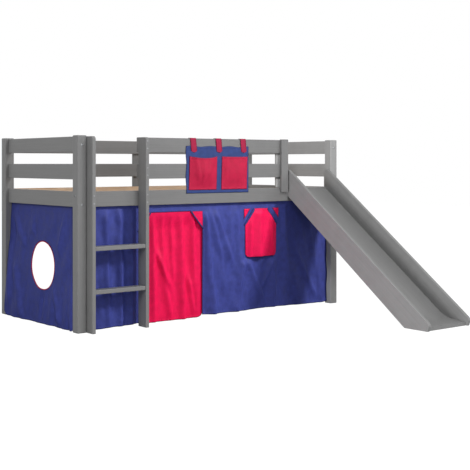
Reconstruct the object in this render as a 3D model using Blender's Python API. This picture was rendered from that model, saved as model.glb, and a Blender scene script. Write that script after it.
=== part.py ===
# Mid-height children's bed: slatted lying surface on four posts, bolted ladder, slide with a
# run-out, play curtains under the bed and a pocket organizer hung on the guard rail.
# Bed coordinates in this file: x along the bed from the left end, y from the front face of the
# posts to the back, z up from the floor. Every object is then shifted so that the world origin
# lies on the floor under the middle of the whole piece, slide included.
import bpy
import bmesh
import math
from mathutils import Vector

# Bed frame
BED_LENGTH = 2.066
BED_WIDTH = 0.990
POST_HEIGHT = 1.140
POST_SIDE = 0.060
POST_EDGE = 0.0045
RAIL_HEIGHT = 0.090
RAIL_SPACING = 0.070
RAIL_THICKNESS = 0.020
RAIL_SETBACK = 0.020
RAIL_EDGE = 0.0030
TOP_RAIL_DROP = 0.006
FIT = 0.0003

# Guard on the front side
GUARD_START = 0.4260
GUARD_SLIDE_GAP = 0.0093
BOARD_WIDTH = 0.060
BOARD_THICKNESS = 0.0197
BOARD_EDGE = 0.0020
OUTER_BOARD_RISE = 0.004
OUTER_BOARD_LAP = 0.030
INNER_BOARD_RISE = 0.0010
INNER_BOARD_BACK = 0.010

# Ladder
STILE_THICKNESS = 0.022
STILE_DEPTH = 0.0847
STILE_NOSE = 0.020
STILE_EDGE = 0.0015
RUNG_THICKNESS = 0.0255
RUNG_DEPTH = 0.061
RUNG_INSET = 0.003
RUNG_PITCH = 0.2495
RUNG_EDGE = 0.0040

# Lying surface
SLAT_COUNT = 14
SLAT_WIDTH = 0.070
SLAT_THICKNESS = 0.018
SLAT_END_MARGIN = 0.075
WEBBING_WIDTH = 0.030
WEBBING_THICKNESS = 0.0020
WEBBING_SINK = 0.0004
WEBBING_INSET = 0.180
SLAT_SUNK = 0.030
SLAT_END_PLAY = 0.0005
SLAT_EDGE = 0.0015
LEDGER_DEPTH = 0.025
LEDGER_CLEAR = 0.003
LEDGER_EDGE = 0.0010
STEP_DEPTH = 0.012

# Slide
SLIDE_FROM_END = 0.4437
SLIDE_CHANNEL = 0.3394
SLIDE_BOARD = 0.022
SLIDE_REACH = 1.210
SLIDE_BED_DROP = 0.0274
SLIDE_WALL_RISE = 0.1126
SLIDE_WALL_DROP = 0.0342
SLIDE_BED_THICKNESS = 0.018
SLIDE_TIP_BACK = 0.022
SLIDE_TIP_HEIGHT = 0.021
RUNOUT_LENGTH = 0.1767
RUNOUT_LIFT = 0.034
RUNOUT_EASE = 0.055
NOSE_RADIUS = 0.030
SLIDE_CORNER = 0.024
HOOK_REACH = 0.0450
SLIDE_EDGE = 0.0015
BATTEN_THICKNESS = 0.015
BATTEN_WIDTH = 0.060
BATTEN_DISTANCE = 0.720

# Fasteners
BOLT_RADIUS = 0.0030
BOLT_HEAD_RADIUS = 0.0070
BOLT_HEAD_HEIGHT = 0.0040
BOLT_HEAD_SINK = 0.0010
BOLT_BITE = 0.030
BOLT_DROP_TOP = 0.004
BOLT_DROP_LOW = 0.030
BOLT_RAISE = 0.020

# Play curtains
CLOTH = 0.0016
TAPE_THICKNESS = 0.0020
TAPE_HEIGHT = 0.025
TAPE_RISE = 0.004
CURTAIN_TOP_MARGIN = 0.002
CURTAIN_SIDE = 0.0010
CURTAIN_LIFT_LEFT = 0.008
CURTAIN_LIFT_RIGHT = 0.017
FOLD_DEPTH = 0.0085
FOLD_PITCH = 0.262
SMALL_FOLD_PITCH = 0.117
FOLD_CALM = 0.050
V_FOLD_DEPTH = 0.0070
V_FOLD_WIDTH = 0.050
V_FOLD_SPREAD = 0.120
EDGE_FOLD_DEPTH = 0.0100
EDGE_FOLD_WIDTH = 0.030
EDGE_FOLD_START = 0.055
EDGE_FOLD_DRIFT = 0.075
DOOR_LEFT = 0.4430
DOOR_RIGHT = 0.9210
DOOR_DROP = 0.0800
DOOR_CORNER_WIDTH = 0.092
DOOR_CORNER_HEIGHT = 0.112
DOOR_LAP = 0.016
DOOR_SEAM = 0.012
DOOR_LIFT = 0.003
DOOR_CORNER_RADIUS = 0.050
DOOR_BEHIND = 0.0120
DOOR_FOLD_DEPTH = 0.0065
DOOR_FOLD_PITCH = 0.139
DOOR_SMALL_PITCH = 0.083
DOOR_CALM = 0.045
PATCH_WIDTH = 0.056
PATCH_HEIGHT = 0.070
TRIM_OVERLAP = 0.008
WINDOW_LEFT = 1.2740
WINDOW_RIGHT = 1.5470
WINDOW_DROP = 0.0740
WINDOW_HEIGHT = 0.3190
WINDOW_OVERLAP = 0.030
WINDOW_CORNER_WIDTH = 0.078
WINDOW_CORNER_HEIGHT = 0.098
WINDOW_CORNER_RADIUS = 0.026
WINDOW_PATCH_OUT = 0.013
FLAP_BULGE = 0.0050
END_HOLE_ALONG = 0.475
END_HOLE_LEVEL = 0.355
END_HOLE_RADIUS = 0.148
BINDING_WIDTH = 0.0060
BINDING_THICKNESS = 0.0040
END_FLARE_BACK = 0.0370
END_FLARE_FRONT = 0.0170
END_LIFT = 0.006
END_CORNER_RADIUS = 0.030
END_FOLD_DEPTH = 0.0035
END_FOLD_PITCH = 0.290

# Pocket organizer
ORGANIZER_WIDTH = 0.502
ORGANIZER_HEIGHT = 0.296
ORGANIZER_DROP = 0.049
ORGANIZER_STAND_OFF = 0.0010
ORGANIZER_WAVE = 0.0022
ORGANIZER_WAVE_PITCH = 0.155
STRAP_WIDTH = 0.046
STRAP_THICKNESS = 0.0014
STRAP_REACH = 0.092
STRAP_COUNT = 3
STRAP_MARGIN = 0.0305
STRAP_PITCH = 0.2005
STRAP_LEAN = 0.006
STRAP_CROWN = 0.0012
STRAP_BEHIND = 0.075
POCKET_DROP = 0.063
POCKET_HEIGHT = 0.212
POCKET_MARGIN = 0.0265
POCKET_GAP = 0.032
POCKET_WIDTH = (0.219, 0.212)
POCKET_BULGE = (0.0170, 0.0110)
POCKET_SAG = (0.0060, 0.0010)
POCKET_LEAN = 0.006
POCKET_CLOTH = 0.0014

# Shares that shape the soft forms and the rounded edges
ROUND_PROFILE_SHARE = 0.5
SMALL_FOLD_SHARE = 0.35
DOOR_SMALL_SHARE = 0.5
DOOR_SHIFT_SHARE = 0.16
DOOR_TOP_FOLD_SHARE = 0.33
FLAP_STAND_SHARE = 0.33
POCKET_FILL_SHARE = 0.5
END_RELEASE_SHARE = 0.25

# Resolution
ROUND_SIDES = 16
HOLE_SIDES = 44
ARC_STEPS = 6
EDGE_STEPS = 2
CURTAIN_COLUMNS = 58
CURTAIN_ROWS = 8
END_COLUMNS = 30
END_ROWS = 9
DOOR_COLUMNS = 30
DOOR_ROWS = 8
FLAP_COLUMNS = 14
FLAP_ROWS = 6
POCKET_COLUMNS = 12
POCKET_ROWS = 6
BACKING_COLUMNS = 12
BACKING_ROWS = 8
SHARP_ANGLE = math.radians(35.0)

# Levels worked out from the sizes above
WORLD_X = -BED_LENGTH / 2
WORLD_Y = (SLIDE_REACH - BED_WIDTH) / 2
TOP_LEVEL = POST_HEIGHT - TOP_RAIL_DROP - RAIL_HEIGHT / 2
MIDDLE_LEVEL = TOP_LEVEL - RAIL_HEIGHT - RAIL_SPACING
LOW_LEVEL = MIDDLE_LEVEL - RAIL_HEIGHT - RAIL_SPACING
RAIL_TOP = LOW_LEVEL + RAIL_HEIGHT / 2
RAIL_FOOT = LOW_LEVEL - RAIL_HEIGHT / 2
RAIL_BACK = RAIL_SETBACK + RAIL_THICKNESS
RAIL_MIDDLE = RAIL_SETBACK + RAIL_THICKNESS / 2
GUARD_TOP = TOP_LEVEL + RAIL_HEIGHT / 2
SLIDE_LEFT = BED_LENGTH - SLIDE_FROM_END
GUARD_END = SLIDE_LEFT - GUARD_SLIDE_GAP
SLIDE_BED_LEVEL = RAIL_TOP - SLIDE_BED_DROP
SLIDE_SLOPE = (SLIDE_BED_LEVEL - RUNOUT_LIFT) / (SLIDE_REACH - RUNOUT_LENGTH)
SLIDE_ANGLE = math.atan(SLIDE_SLOPE)
SLIDE_RIGHT = SLIDE_LEFT + SLIDE_BOARD + SLIDE_CHANNEL
CLOTH_PLANE = RAIL_BACK + FIT + TAPE_THICKNESS + FIT + CLOTH / 2
CURTAIN_TOP = RAIL_FOOT + TAPE_RISE + TAPE_HEIGHT + CURTAIN_TOP_MARGIN
DOOR_TOP = CURTAIN_TOP - DOOR_DROP
WINDOW_TOP = CURTAIN_TOP - WINDOW_DROP
WINDOW_BOTTOM = WINDOW_TOP - WINDOW_HEIGHT
ORGANIZER_LEFT = (GUARD_START + GUARD_END - ORGANIZER_WIDTH) / 2
ORGANIZER_RIGHT = ORGANIZER_LEFT + ORGANIZER_WIDTH
ORGANIZER_TOP = GUARD_TOP - ORGANIZER_DROP
ORGANIZER_BOTTOM = ORGANIZER_TOP - ORGANIZER_HEIGHT
LEDGER_TOP = RAIL_TOP
LEDGER_FOOT = CURTAIN_TOP + LEDGER_CLEAR
SLAT_TOP = RAIL_TOP - SLAT_SUNK
SLAT_FOOT = SLAT_TOP - SLAT_THICKNESS
STILE_FRONT = RAIL_SETBACK - FIT - STILE_DEPTH
LEFT_STILE = POST_SIDE + FIT
RIGHT_STILE = GUARD_START


for old in list(bpy.data.objects):
    bpy.data.objects.remove(old, do_unlink=True)


# Materials of the plain shapes: colour, metal, roughness
def material(name, colour, metal, rough):
    made = bpy.data.materials.new(name)
    made.use_nodes = True
    shader = made.node_tree.nodes["Principled BSDF"]
    shader.inputs["Base Color"].default_value = (*colour, 1)
    shader.inputs["Metallic"].default_value = metal
    shader.inputs["Roughness"].default_value = rough
    return made


GREY_PAINT = ("grey painted pine", (0.27, 0.27, 0.27), 0.0, 0.45)
BARE_PINE = ("bare pine", (0.62, 0.42, 0.25), 0.0, 0.6)
BLUE_CLOTH = ("blue cotton", (0.045, 0.06, 0.22), 0.0, 0.9)
RED_CLOTH = ("red cotton", (0.72, 0.01, 0.08), 0.0, 0.9)
ZINC_STEEL = ("zinc plated steel", (0.55, 0.55, 0.56), 1.0, 0.35)
HOOK_TAPE = ("hook and loop tape", (0.05, 0.05, 0.06), 0.0, 0.95)


# Building tools
def finish(mesh_data, name, place, paint):
    """Turns a bmesh in bed coordinates into a named object whose origin lies at `place`."""
    bmesh.ops.recalc_face_normals(mesh_data, faces=mesh_data.faces)
    for vertex in mesh_data.verts:
        vertex.co -= Vector(place)
    mesh = bpy.data.meshes.new(name)
    mesh_data.to_mesh(mesh)
    mesh_data.free()
    made = bpy.data.objects.new(name, mesh)
    made.location = (place[0] + WORLD_X, place[1] + WORLD_Y, place[2])
    bpy.context.scene.collection.objects.link(made)
    mesh.materials.append(material(name + " " + paint[0], *paint[1:]))
    return made


def box_mesh(low, high):
    made = bmesh.new()
    bmesh.ops.create_cube(made, size=1)
    for vertex in made.verts:
        for axis in range(3):
            vertex.co[axis] = high[axis] if vertex.co[axis] > 0 else low[axis]
    return made


def round_edges(made, width, steps):
    bmesh.ops.bevel(made, geom=list(made.edges), offset=width, offset_type="OFFSET",
                    segments=steps, profile=ROUND_PROFILE_SHARE, affect="EDGES", clamp_overlap=True)


def board(name, low, high, paint=GREY_PAINT, edge=RAIL_EDGE, steps=1):
    """A squared board between two corners, its edges rounded over."""
    made = box_mesh(low, high)
    round_edges(made, edge, steps)
    middle = tuple((low[axis] + high[axis]) / 2 for axis in range(3))
    return finish(made, name, middle, paint)


def inset(outline, width):
    """The outline drawn in by a width on every side; it may run either way round."""
    count = len(outline)
    area = 0
    for index in range(count):
        area += outline[index - 1][0] * outline[index][1] - outline[index][0] * outline[index - 1][1]
    way = 1 if area > 0 else -1
    drawn = []
    for index in range(count):
        here = Vector(outline[index])
        before = (here - Vector(outline[index - 1])).normalized()
        after = (Vector(outline[(index + 1) % count]) - here).normalized()
        inward = Vector((-before.y - after.y, before.x + after.x)) * way
        share = width / (1 + before.dot(after))
        drawn.append(tuple(here + inward * share))
    return drawn


def plank(name, outline, low, high, axis, paint=GREY_PAINT, edge=0.0, place=None):
    """A board sawn to an outline that lies across `axis`, its two faces edged with a chamfer."""
    made = bmesh.new()
    layers = [(low, outline), (high, outline)]
    if edge:
        small = inset(outline, edge)
        layers = [(low, small), (low + edge, outline), (high - edge, outline), (high, small)]
    rings = []
    for level, shape in layers:
        ring = []
        for first, second in shape:
            spot = {"x": (level, first, second), "y": (first, level, second)}[axis]
            ring.append(made.verts.new(spot))
        rings.append(ring)
    made.faces.new(rings[0])
    made.faces.new(rings[-1])
    count = len(outline)
    for near, far in zip(rings, rings[1:]):
        for index in range(count):
            after = (index + 1) % count
            made.faces.new((near[index], near[after], far[after], far[index]))
    return finish(made, name, place, paint)


def arc(centre, radius, start, end, steps=ARC_STEPS):
    points = []
    for index in range(steps + 1):
        angle = start + (end - start) * index / steps
        points.append((centre[0] + radius * math.cos(angle), centre[1] + radius * math.sin(angle)))
    return points


def add_turned(made, points, sides=ROUND_SIDES):
    """Adds one closed turned solid: points are (centre, radius) along a straight line."""
    first, last = Vector(points[0][0]), Vector(points[-1][0])
    turn = Vector((0, 0, 1)).rotation_difference((last - first).normalized()).to_matrix()
    rings = []
    for centre, radius in points:
        ring = []
        for index in range(sides):
            angle = 2 * math.pi * index / sides
            around = turn @ Vector((math.cos(angle), math.sin(angle), 0))
            ring.append(made.verts.new(Vector(centre) + around * radius))
        rings.append(ring)
    made.faces.new(rings[0])
    made.faces.new(rings[-1])
    for low, high in zip(rings, rings[1:]):
        for index in range(sides):
            after = (index + 1) % sides
            made.faces.new((low[index], low[after], high[after], high[index]))


def cut(target, cutter_mesh, operation="DIFFERENCE"):
    """Takes the closed shapes of a bmesh in bed coordinates out of an object, or adds them."""
    tool = finish(cutter_mesh, "cutter", (0, 0, 0), GREY_PAINT)
    tool.hide_render = True
    tool.display_type = "WIRE"
    boolean = target.modifiers.new("cut", "BOOLEAN")
    boolean.operation = operation
    boolean.solver = "EXACT"
    boolean.object = tool
    bpy.context.view_layer.update()
    seen = target.evaluated_get(bpy.context.evaluated_depsgraph_get())
    result = bpy.data.meshes.new_from_object(seen)
    target.modifiers.clear()
    result.name = target.name
    target.data = result
    paint = target.data.materials[0]
    target.data.materials.clear()
    target.data.materials.append(paint)
    bpy.data.objects.remove(tool, do_unlink=True)


def sheet(name, columns, rows, spot, thickness, axis, place, paint):
    """A closed sheet of cloth: spot(u, v) gives its middle surface for shares u and v."""
    made = bmesh.new()
    push = Vector((thickness / 2, 0, 0)) if axis == "x" else Vector((0, thickness / 2, 0))
    sides = []
    for way in (1, -1):
        grid = []
        for row in range(rows + 1):
            line = []
            for column in range(columns + 1):
                point = Vector(spot(column / columns, row / rows))
                line.append(made.verts.new(point + push * way))
            grid.append(line)
        sides.append(grid)
        for row in range(rows):
            for column in range(columns):
                made.faces.new((grid[row][column], grid[row][column + 1],
                                grid[row + 1][column + 1], grid[row + 1][column]))
    front, back = sides
    for row in range(rows):
        for column in (0, columns):
            made.faces.new((front[row][column], front[row + 1][column],
                            back[row + 1][column], back[row][column]))
    for column in range(columns):
        for row in (0, rows):
            made.faces.new((front[row][column], front[row][column + 1],
                            back[row][column + 1], back[row][column]))
    return finish(made, name, place, paint)


def ease(value, low, high):
    share = min(1, max(0, (value - low) / (high - low)))
    return share * share * (3 - 2 * share)


def corner_rise(distance, radius):
    """How far the hem rises at a rounded corner, by the distance from the side."""
    if distance >= radius:
        return 0
    return radius - math.sqrt(max(0, radius * radius - (radius - distance) ** 2))


# Bolts: each is sunk in a post's outer face and ends in the rail behind it
BOLT_SPOTS = []
for end_name, end_face, end_way in (("left", 0, 1), ("right", BED_LENGTH, -1)):
    for side_name, side_face, side_way in (("front", 0, 1), ("back", BED_WIDTH, -1)):
        upper, lower = TOP_LEVEL - BOLT_DROP_TOP, LOW_LEVEL - BOLT_DROP_LOW
        for level_name, level in (("upper", upper), ("lower", lower)):
            BOLT_SPOTS.append(("bolt_" + side_name + "_" + end_name + "_" + level_name,
                               Vector((end_face + end_way * RAIL_MIDDLE, side_face, level)),
                               Vector((0, side_way, 0))))
        rail_along = side_face + side_way * RAIL_MIDDLE
        BOLT_SPOTS.append(("bolt_" + end_name + "_end_" + side_name,
                           Vector((end_face, rail_along, LOW_LEVEL + BOLT_RAISE)), Vector((end_way, 0, 0))))


def bolt_points(extra):
    """Turned outline of a bolt, distance from the post face and radius; `extra` makes its hole."""
    start = BOLT_HEAD_SINK - 2 * BOLT_HEAD_SINK * bool(extra)
    shoulder = BOLT_HEAD_SINK + BOLT_HEAD_HEIGHT + extra
    tip = POST_SIDE + BOLT_BITE + extra
    head, shank = BOLT_HEAD_RADIUS + extra, BOLT_RADIUS + extra
    return [(start, head), (shoulder, head), (shoulder, shank), (tip, shank)]


def drill(target, low, high):
    """Cuts the hole of every bolt that passes through the box from `low` to `high`."""
    made = bmesh.new()
    for name, face, way in BOLT_SPOTS:
        tip = face + way * (POST_SIDE + BOLT_BITE)
        outside = False
        for axis in range(3):
            near, far = sorted((face[axis], tip[axis]))
            outside = outside or far <= low[axis] or near >= high[axis]
        if not outside:
            add_turned(made, [(face + way * depth, radius) for depth, radius in bolt_points(FIT)])
    if made.verts:
        cut(target, made)
    else:
        made.free()


# Posts and rails
for end_name, end_face, end_way in (("left", 0, 1), ("right", BED_LENGTH, -1)):
    for side_name, side_face, side_way in (("front", 0, 1), ("back", BED_WIDTH, -1)):
        x_range = sorted((end_face, end_face + end_way * POST_SIDE))
        y_range = sorted((side_face, side_face + side_way * POST_SIDE))
        low, high = (x_range[0], y_range[0], 0), (x_range[1], y_range[1], POST_HEIGHT)
        post = board("post_" + side_name + "_" + end_name, low, high, edge=POST_EDGE, steps=EDGE_STEPS)
        drill(post, low, high)

RAIL_LEVELS = (("top", TOP_LEVEL), ("middle", MIDDLE_LEVEL), ("lower", LOW_LEVEL))
for level_name, level in RAIL_LEVELS:
    foot, head = level - RAIL_HEIGHT / 2, level + RAIL_HEIGHT / 2
    for end_name, end_face, end_way in (("left", 0, 1), ("right", BED_LENGTH, -1)):
        near, far = sorted((end_face + end_way * RAIL_SETBACK, end_face + end_way * RAIL_BACK))
        low = (near, POST_SIDE + FIT, foot)
        high = (far, BED_WIDTH - POST_SIDE - FIT, head)
        drill(board(end_name + "_end_rail_" + level_name, low, high, steps=EDGE_STEPS), low, high)
    low = (POST_SIDE + FIT, BED_WIDTH - RAIL_BACK, foot)
    high = (BED_LENGTH - POST_SIDE - FIT, BED_WIDTH - RAIL_SETBACK, head)
    drill(board("back_rail_" + level_name, low, high, steps=EDGE_STEPS), low, high)
low = (POST_SIDE + FIT, RAIL_SETBACK, RAIL_FOOT)
high = (BED_LENGTH - POST_SIDE - FIT, RAIL_BACK, RAIL_TOP)
drill(board("front_side_rail", low, high, steps=EDGE_STEPS), low, high)
rod = bmesh.new()
add_turned(rod, [(Vector((0, depth, 0)), radius) for depth, radius in bolt_points(0)])
bmesh.ops.recalc_face_normals(rod, faces=rod.faces)
bolt_mesh = bpy.data.meshes.new("bolt")
rod.to_mesh(bolt_mesh)
rod.free()
bolt_mesh.materials.append(material(*ZINC_STEEL))
for name, face, way in BOLT_SPOTS:
    bolt = bpy.data.objects.new(name, bolt_mesh)
    bolt.location = face + Vector((WORLD_X, WORLD_Y, 0))
    bolt.rotation_euler = (0, 0, math.atan2(way.y, way.x) - math.pi / 2)
    bpy.context.scene.collection.objects.link(bolt)

# Guard rails, the boards that close them and the upright of the back rails
for level_name, level in RAIL_LEVELS[:2]:
    board("guard_rail_" + level_name, (GUARD_START, RAIL_SETBACK, level - RAIL_HEIGHT / 2),
          (GUARD_END, RAIL_BACK, level + RAIL_HEIGHT / 2), steps=EDGE_STEPS)

board("guard_outer_board",
      (GUARD_END - BOARD_WIDTH, RAIL_SETBACK - FIT - BOARD_THICKNESS, RAIL_TOP - OUTER_BOARD_LAP),
      (GUARD_END, RAIL_SETBACK - FIT, GUARD_TOP + OUTER_BOARD_RISE), edge=BOARD_EDGE)
start = GUARD_END - BOARD_WIDTH - INNER_BOARD_BACK
board("guard_inner_board", (start, RAIL_BACK + FIT, RAIL_TOP + INNER_BOARD_RISE),
      (start + BOARD_WIDTH, RAIL_BACK + FIT + BOARD_THICKNESS, GUARD_TOP), edge=BOARD_EDGE)
# an upright board ties the three back rails together at the middle of the bed
start = (BED_LENGTH - BOARD_WIDTH) / 2
near = BED_WIDTH - RAIL_SETBACK + FIT
board("back_middle_board", (start, near, RAIL_TOP - RAIL_HEIGHT),
      (start + BOARD_WIDTH, near + BOARD_THICKNESS, GUARD_TOP), edge=BOARD_EDGE)

# Ladder
nose = arc((STILE_FRONT + STILE_NOSE, GUARD_TOP - STILE_NOSE), STILE_NOSE, math.pi, math.pi / 2)
stile_outline = [(RAIL_SETBACK - FIT, 0), (STILE_FRONT, 0)] + nose + [(RAIL_SETBACK - FIT, GUARD_TOP)]
for side_name, start in (("left", LEFT_STILE), ("right", RIGHT_STILE)):
    plank("ladder_stile_" + side_name, stile_outline, start, start + STILE_THICKNESS, "x",
          edge=STILE_EDGE, place=(start, RAIL_SETBACK, 0))
for rung_name, top in (("lower", RUNG_PITCH), ("upper", 2 * RUNG_PITCH)):
    board("ladder_rung_" + rung_name,
          (LEFT_STILE + STILE_THICKNESS + FIT, STILE_FRONT + RUNG_INSET, top - RUNG_THICKNESS),
          (RIGHT_STILE - FIT, STILE_FRONT + RUNG_INSET + RUNG_DEPTH, top), edge=RUNG_EDGE, steps=EDGE_STEPS)

# Ledgers along the side rails; the slats' ends lie on their steps
STEP_TOP = SLAT_FOOT - FIT
near = RAIL_BACK + FIT
far = near + LEDGER_DEPTH
ledger = [(near, LEDGER_FOOT), (far, LEDGER_FOOT), (far, STEP_TOP), (far - STEP_DEPTH, STEP_TOP),
          (far - STEP_DEPTH, LEDGER_TOP), (near, LEDGER_TOP)]
for side_name, outline in (("front", ledger), ("back", [(BED_WIDTH - y, z) for y, z in ledger[::-1]])):
    plank("slat_ledger_" + side_name, outline, POST_SIDE + FIT, BED_LENGTH - POST_SIDE - FIT, "x",
          paint=BARE_PINE, edge=LEDGER_EDGE, place=(POST_SIDE, outline[0][0], LEDGER_TOP))
# the slats are stapled to two webbing bands and make one roll; the bands are sunk a hair
slat_pitch = (BED_LENGTH - 2 * SLAT_END_MARGIN - SLAT_WIDTH) / (SLAT_COUNT - 1)
slat_near = far - STEP_DEPTH + SLAT_END_PLAY
slats = bmesh.new()
for index in range(SLAT_COUNT):
    start = SLAT_END_MARGIN + index * slat_pitch
    single = box_mesh((start, slat_near, SLAT_FOOT), (start + SLAT_WIDTH, BED_WIDTH - slat_near, SLAT_TOP))
    round_edges(single, SLAT_EDGE, 1)
    copy = bpy.data.meshes.new("slat")
    single.to_mesh(copy)
    single.free()
    slats.from_mesh(copy)
    bpy.data.meshes.remove(copy)
bands = []
for middle in (WEBBING_INSET, BED_WIDTH - WEBBING_INSET):
    band = box_mesh((SLAT_END_MARGIN + SLAT_EDGE, middle - WEBBING_WIDTH / 2,
                     SLAT_FOOT - WEBBING_THICKNESS + WEBBING_SINK),
                    (BED_LENGTH - SLAT_END_MARGIN - SLAT_EDGE, middle + WEBBING_WIDTH / 2,
                     SLAT_FOOT + WEBBING_SINK))
    bands.append(band)
slat_roll = finish(bands[0], "slat_roll", (SLAT_END_MARGIN, BED_WIDTH / 2, SLAT_FOOT), BARE_PINE)
cut(slat_roll, slats, "UNION")
cut(slat_roll, bands[1], "UNION")


# Slide: two profiled side boards, a bed that runs out flat, two battens
def slide_line(offset):
    """Height at the post fronts of a line parallel to the slide bed, `offset` square to it."""
    return SLIDE_BED_LEVEL + offset / math.cos(SLIDE_ANGLE)


def wall_outline():
    """Side board outline in y and z, anticlockwise seen from the right end of the bed."""
    top, foot = slide_line(SLIDE_WALL_RISE), slide_line(-SLIDE_WALL_DROP)
    tip = -SLIDE_REACH
    # the notch that hooks over the side rail
    edge = RAIL_SETBACK - FIT
    points = [(HOOK_REACH, RAIL_TOP + FIT), (edge, RAIL_TOP + FIT)]
    points += [(edge, foot + edge * SLIDE_SLOPE), (-foot / SLIDE_SLOPE, 0)]
    points += [(tip + SLIDE_TIP_BACK / 2, 0)]
    # the nose: an arc that meets the upper edge of the board without a corner
    normal_lift = NOSE_RADIUS * (1 / math.cos(SLIDE_ANGLE))
    centre = (tip + NOSE_RADIUS, top - normal_lift + (tip + NOSE_RADIUS) * SLIDE_SLOPE)
    points += arc(centre, NOSE_RADIUS, math.pi, math.pi / 2 + SLIDE_ANGLE)
    # the upper end: the corner is rounded over
    peak = top + HOOK_REACH * SLIDE_SLOPE
    centre = (HOOK_REACH - SLIDE_CORNER, peak - SLIDE_CORNER * SLIDE_SLOPE
              - SLIDE_CORNER / math.cos(SLIDE_ANGLE))
    points += arc(centre, SLIDE_CORNER, math.pi / 2 + SLIDE_ANGLE, 0)
    return points


SLIDE_PLACE = (SLIDE_LEFT, 0, 0)
plank("slide_side_left", wall_outline(), SLIDE_LEFT, SLIDE_LEFT + SLIDE_BOARD, "x",
      edge=SLIDE_EDGE, place=SLIDE_PLACE)
plank("slide_side_right", wall_outline(), SLIDE_RIGHT, SLIDE_RIGHT + SLIDE_BOARD, "x",
      edge=SLIDE_EDGE, place=SLIDE_PLACE)


def bed_outline():
    """Slide bed in y and z: straight, then an eased bend into the run-out on the floor."""
    back = RAIL_SETBACK - FIT
    front = -SLIDE_REACH + SLIDE_TIP_BACK
    bend = (RUNOUT_LIFT - SLIDE_BED_LEVEL) / SLIDE_SLOPE
    near, far = bend + RUNOUT_EASE, bend - RUNOUT_EASE
    flat_slope = (RUNOUT_LIFT - SLIDE_TIP_HEIGHT) / (bend - front)
    points = [(back, SLIDE_BED_LEVEL + back * SLIDE_SLOPE)]
    for index in range(ARC_STEPS + 1):
        share = index / ARC_STEPS
        steep = (1 - share) * (1 - share)
        level = share * share
        along = near * steep + 2 * bend * share * (1 - share) + far * level
        start_height = SLIDE_BED_LEVEL + near * SLIDE_SLOPE
        end_height = RUNOUT_LIFT - RUNOUT_EASE * flat_slope
        height = start_height * steep + 2 * RUNOUT_LIFT * share * (1 - share) + end_height * level
        points.append((along, height))
    points += [(front, SLIDE_TIP_HEIGHT), (front, 0)]
    under = slide_line(-SLIDE_BED_THICKNESS)
    points += [(-under / SLIDE_SLOPE, 0), (back, under + back * SLIDE_SLOPE)]
    return points


plank("slide_bed", bed_outline(), SLIDE_LEFT + SLIDE_BOARD + FIT, SLIDE_RIGHT - FIT, "x",
      edge=SLIDE_EDGE, place=SLIDE_PLACE)

under = slide_line(-SLIDE_BED_THICKNESS - FIT)
foot = slide_line(-SLIDE_WALL_DROP)
back = RAIL_SETBACK - FIT
front = back - BATTEN_THICKNESS
plank("slide_batten_top",
      [(front, foot + front * SLIDE_SLOPE), (back, foot + back * SLIDE_SLOPE),
       (back, under + back * SLIDE_SLOPE), (front, under + front * SLIDE_SLOPE)],
      SLIDE_LEFT + SLIDE_BOARD + FIT, SLIDE_RIGHT - FIT, "x", place=(SLIDE_LEFT, front, foot))

drop = SLIDE_BED_THICKNESS + FIT + BATTEN_THICKNESS / 2
LOW_BATTEN = (-BATTEN_DISTANCE, slide_line(-drop) - BATTEN_DISTANCE * SLIDE_SLOPE)
half_run = BATTEN_WIDTH / 2 * math.cos(SLIDE_ANGLE)
half_rise = BATTEN_WIDTH / 2 * math.sin(SLIDE_ANGLE)
half_out = BATTEN_THICKNESS / 2 * math.sin(SLIDE_ANGLE)
half_up = BATTEN_THICKNESS / 2 * math.cos(SLIDE_ANGLE)
corners = []
for run, rise in ((-1, -1), (1, -1), (1, 1), (-1, 1)):
    corners.append((LOW_BATTEN[0] + run * half_run - rise * half_out,
                    LOW_BATTEN[1] + run * half_rise + rise * half_up))
plank("slide_batten_low", corners, SLIDE_LEFT + SLIDE_BOARD + FIT, SLIDE_RIGHT - FIT, "x",
      place=(SLIDE_LEFT, *LOW_BATTEN))

# Tapes the curtains hang from
tape_low, tape_high = RAIL_FOOT + TAPE_RISE, RAIL_FOOT + TAPE_RISE + TAPE_HEIGHT
plank("front_hook_tape",
      [(POST_SIDE + CURTAIN_SIDE, tape_low), (BED_LENGTH - POST_SIDE - CURTAIN_SIDE, tape_low),
       (BED_LENGTH - POST_SIDE - CURTAIN_SIDE, tape_high), (POST_SIDE + CURTAIN_SIDE, tape_high)],
      RAIL_BACK + FIT, RAIL_BACK + FIT + TAPE_THICKNESS, "y", paint=HOOK_TAPE,
      place=(POST_SIDE, RAIL_BACK, tape_high))
plank("end_hook_tape",
      [(POST_SIDE + CURTAIN_SIDE, tape_low), (BED_WIDTH - POST_SIDE - CURTAIN_SIDE, tape_low),
       (BED_WIDTH - POST_SIDE - CURTAIN_SIDE, tape_high), (POST_SIDE + CURTAIN_SIDE, tape_high)],
      RAIL_BACK + FIT, RAIL_BACK + FIT + TAPE_THICKNESS, "x", paint=HOOK_TAPE,
      place=(RAIL_BACK, POST_SIDE, tape_high))

# Front curtain with its doorway and window
CURTAIN_HEIGHT = CURTAIN_TOP - CURTAIN_LIFT_LEFT
WINDOW_MIDDLE = (WINDOW_LEFT + WINDOW_RIGHT) / 2


def calm(along, level):
    """Zero where flap, patches and door curtain need flat cloth, one elsewhere."""
    side = min(abs(along - WINDOW_LEFT), abs(along - WINDOW_RIGHT))
    inside = WINDOW_LEFT < along < WINDOW_RIGHT
    window = 1 if inside else 1 - ease(side, WINDOW_PATCH_OUT, WINDOW_PATCH_OUT + FOLD_CALM)
    window *= ease(level, WINDOW_BOTTOM - FOLD_CALM, WINDOW_BOTTOM)
    side = min(abs(along - DOOR_LEFT), abs(along - DOOR_RIGHT))
    inside = DOOR_LEFT < along < DOOR_RIGHT
    door = 1 if inside else 1 - ease(side, DOOR_LAP, DOOR_LAP + FOLD_CALM)
    return 1 - max(window, door)


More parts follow.
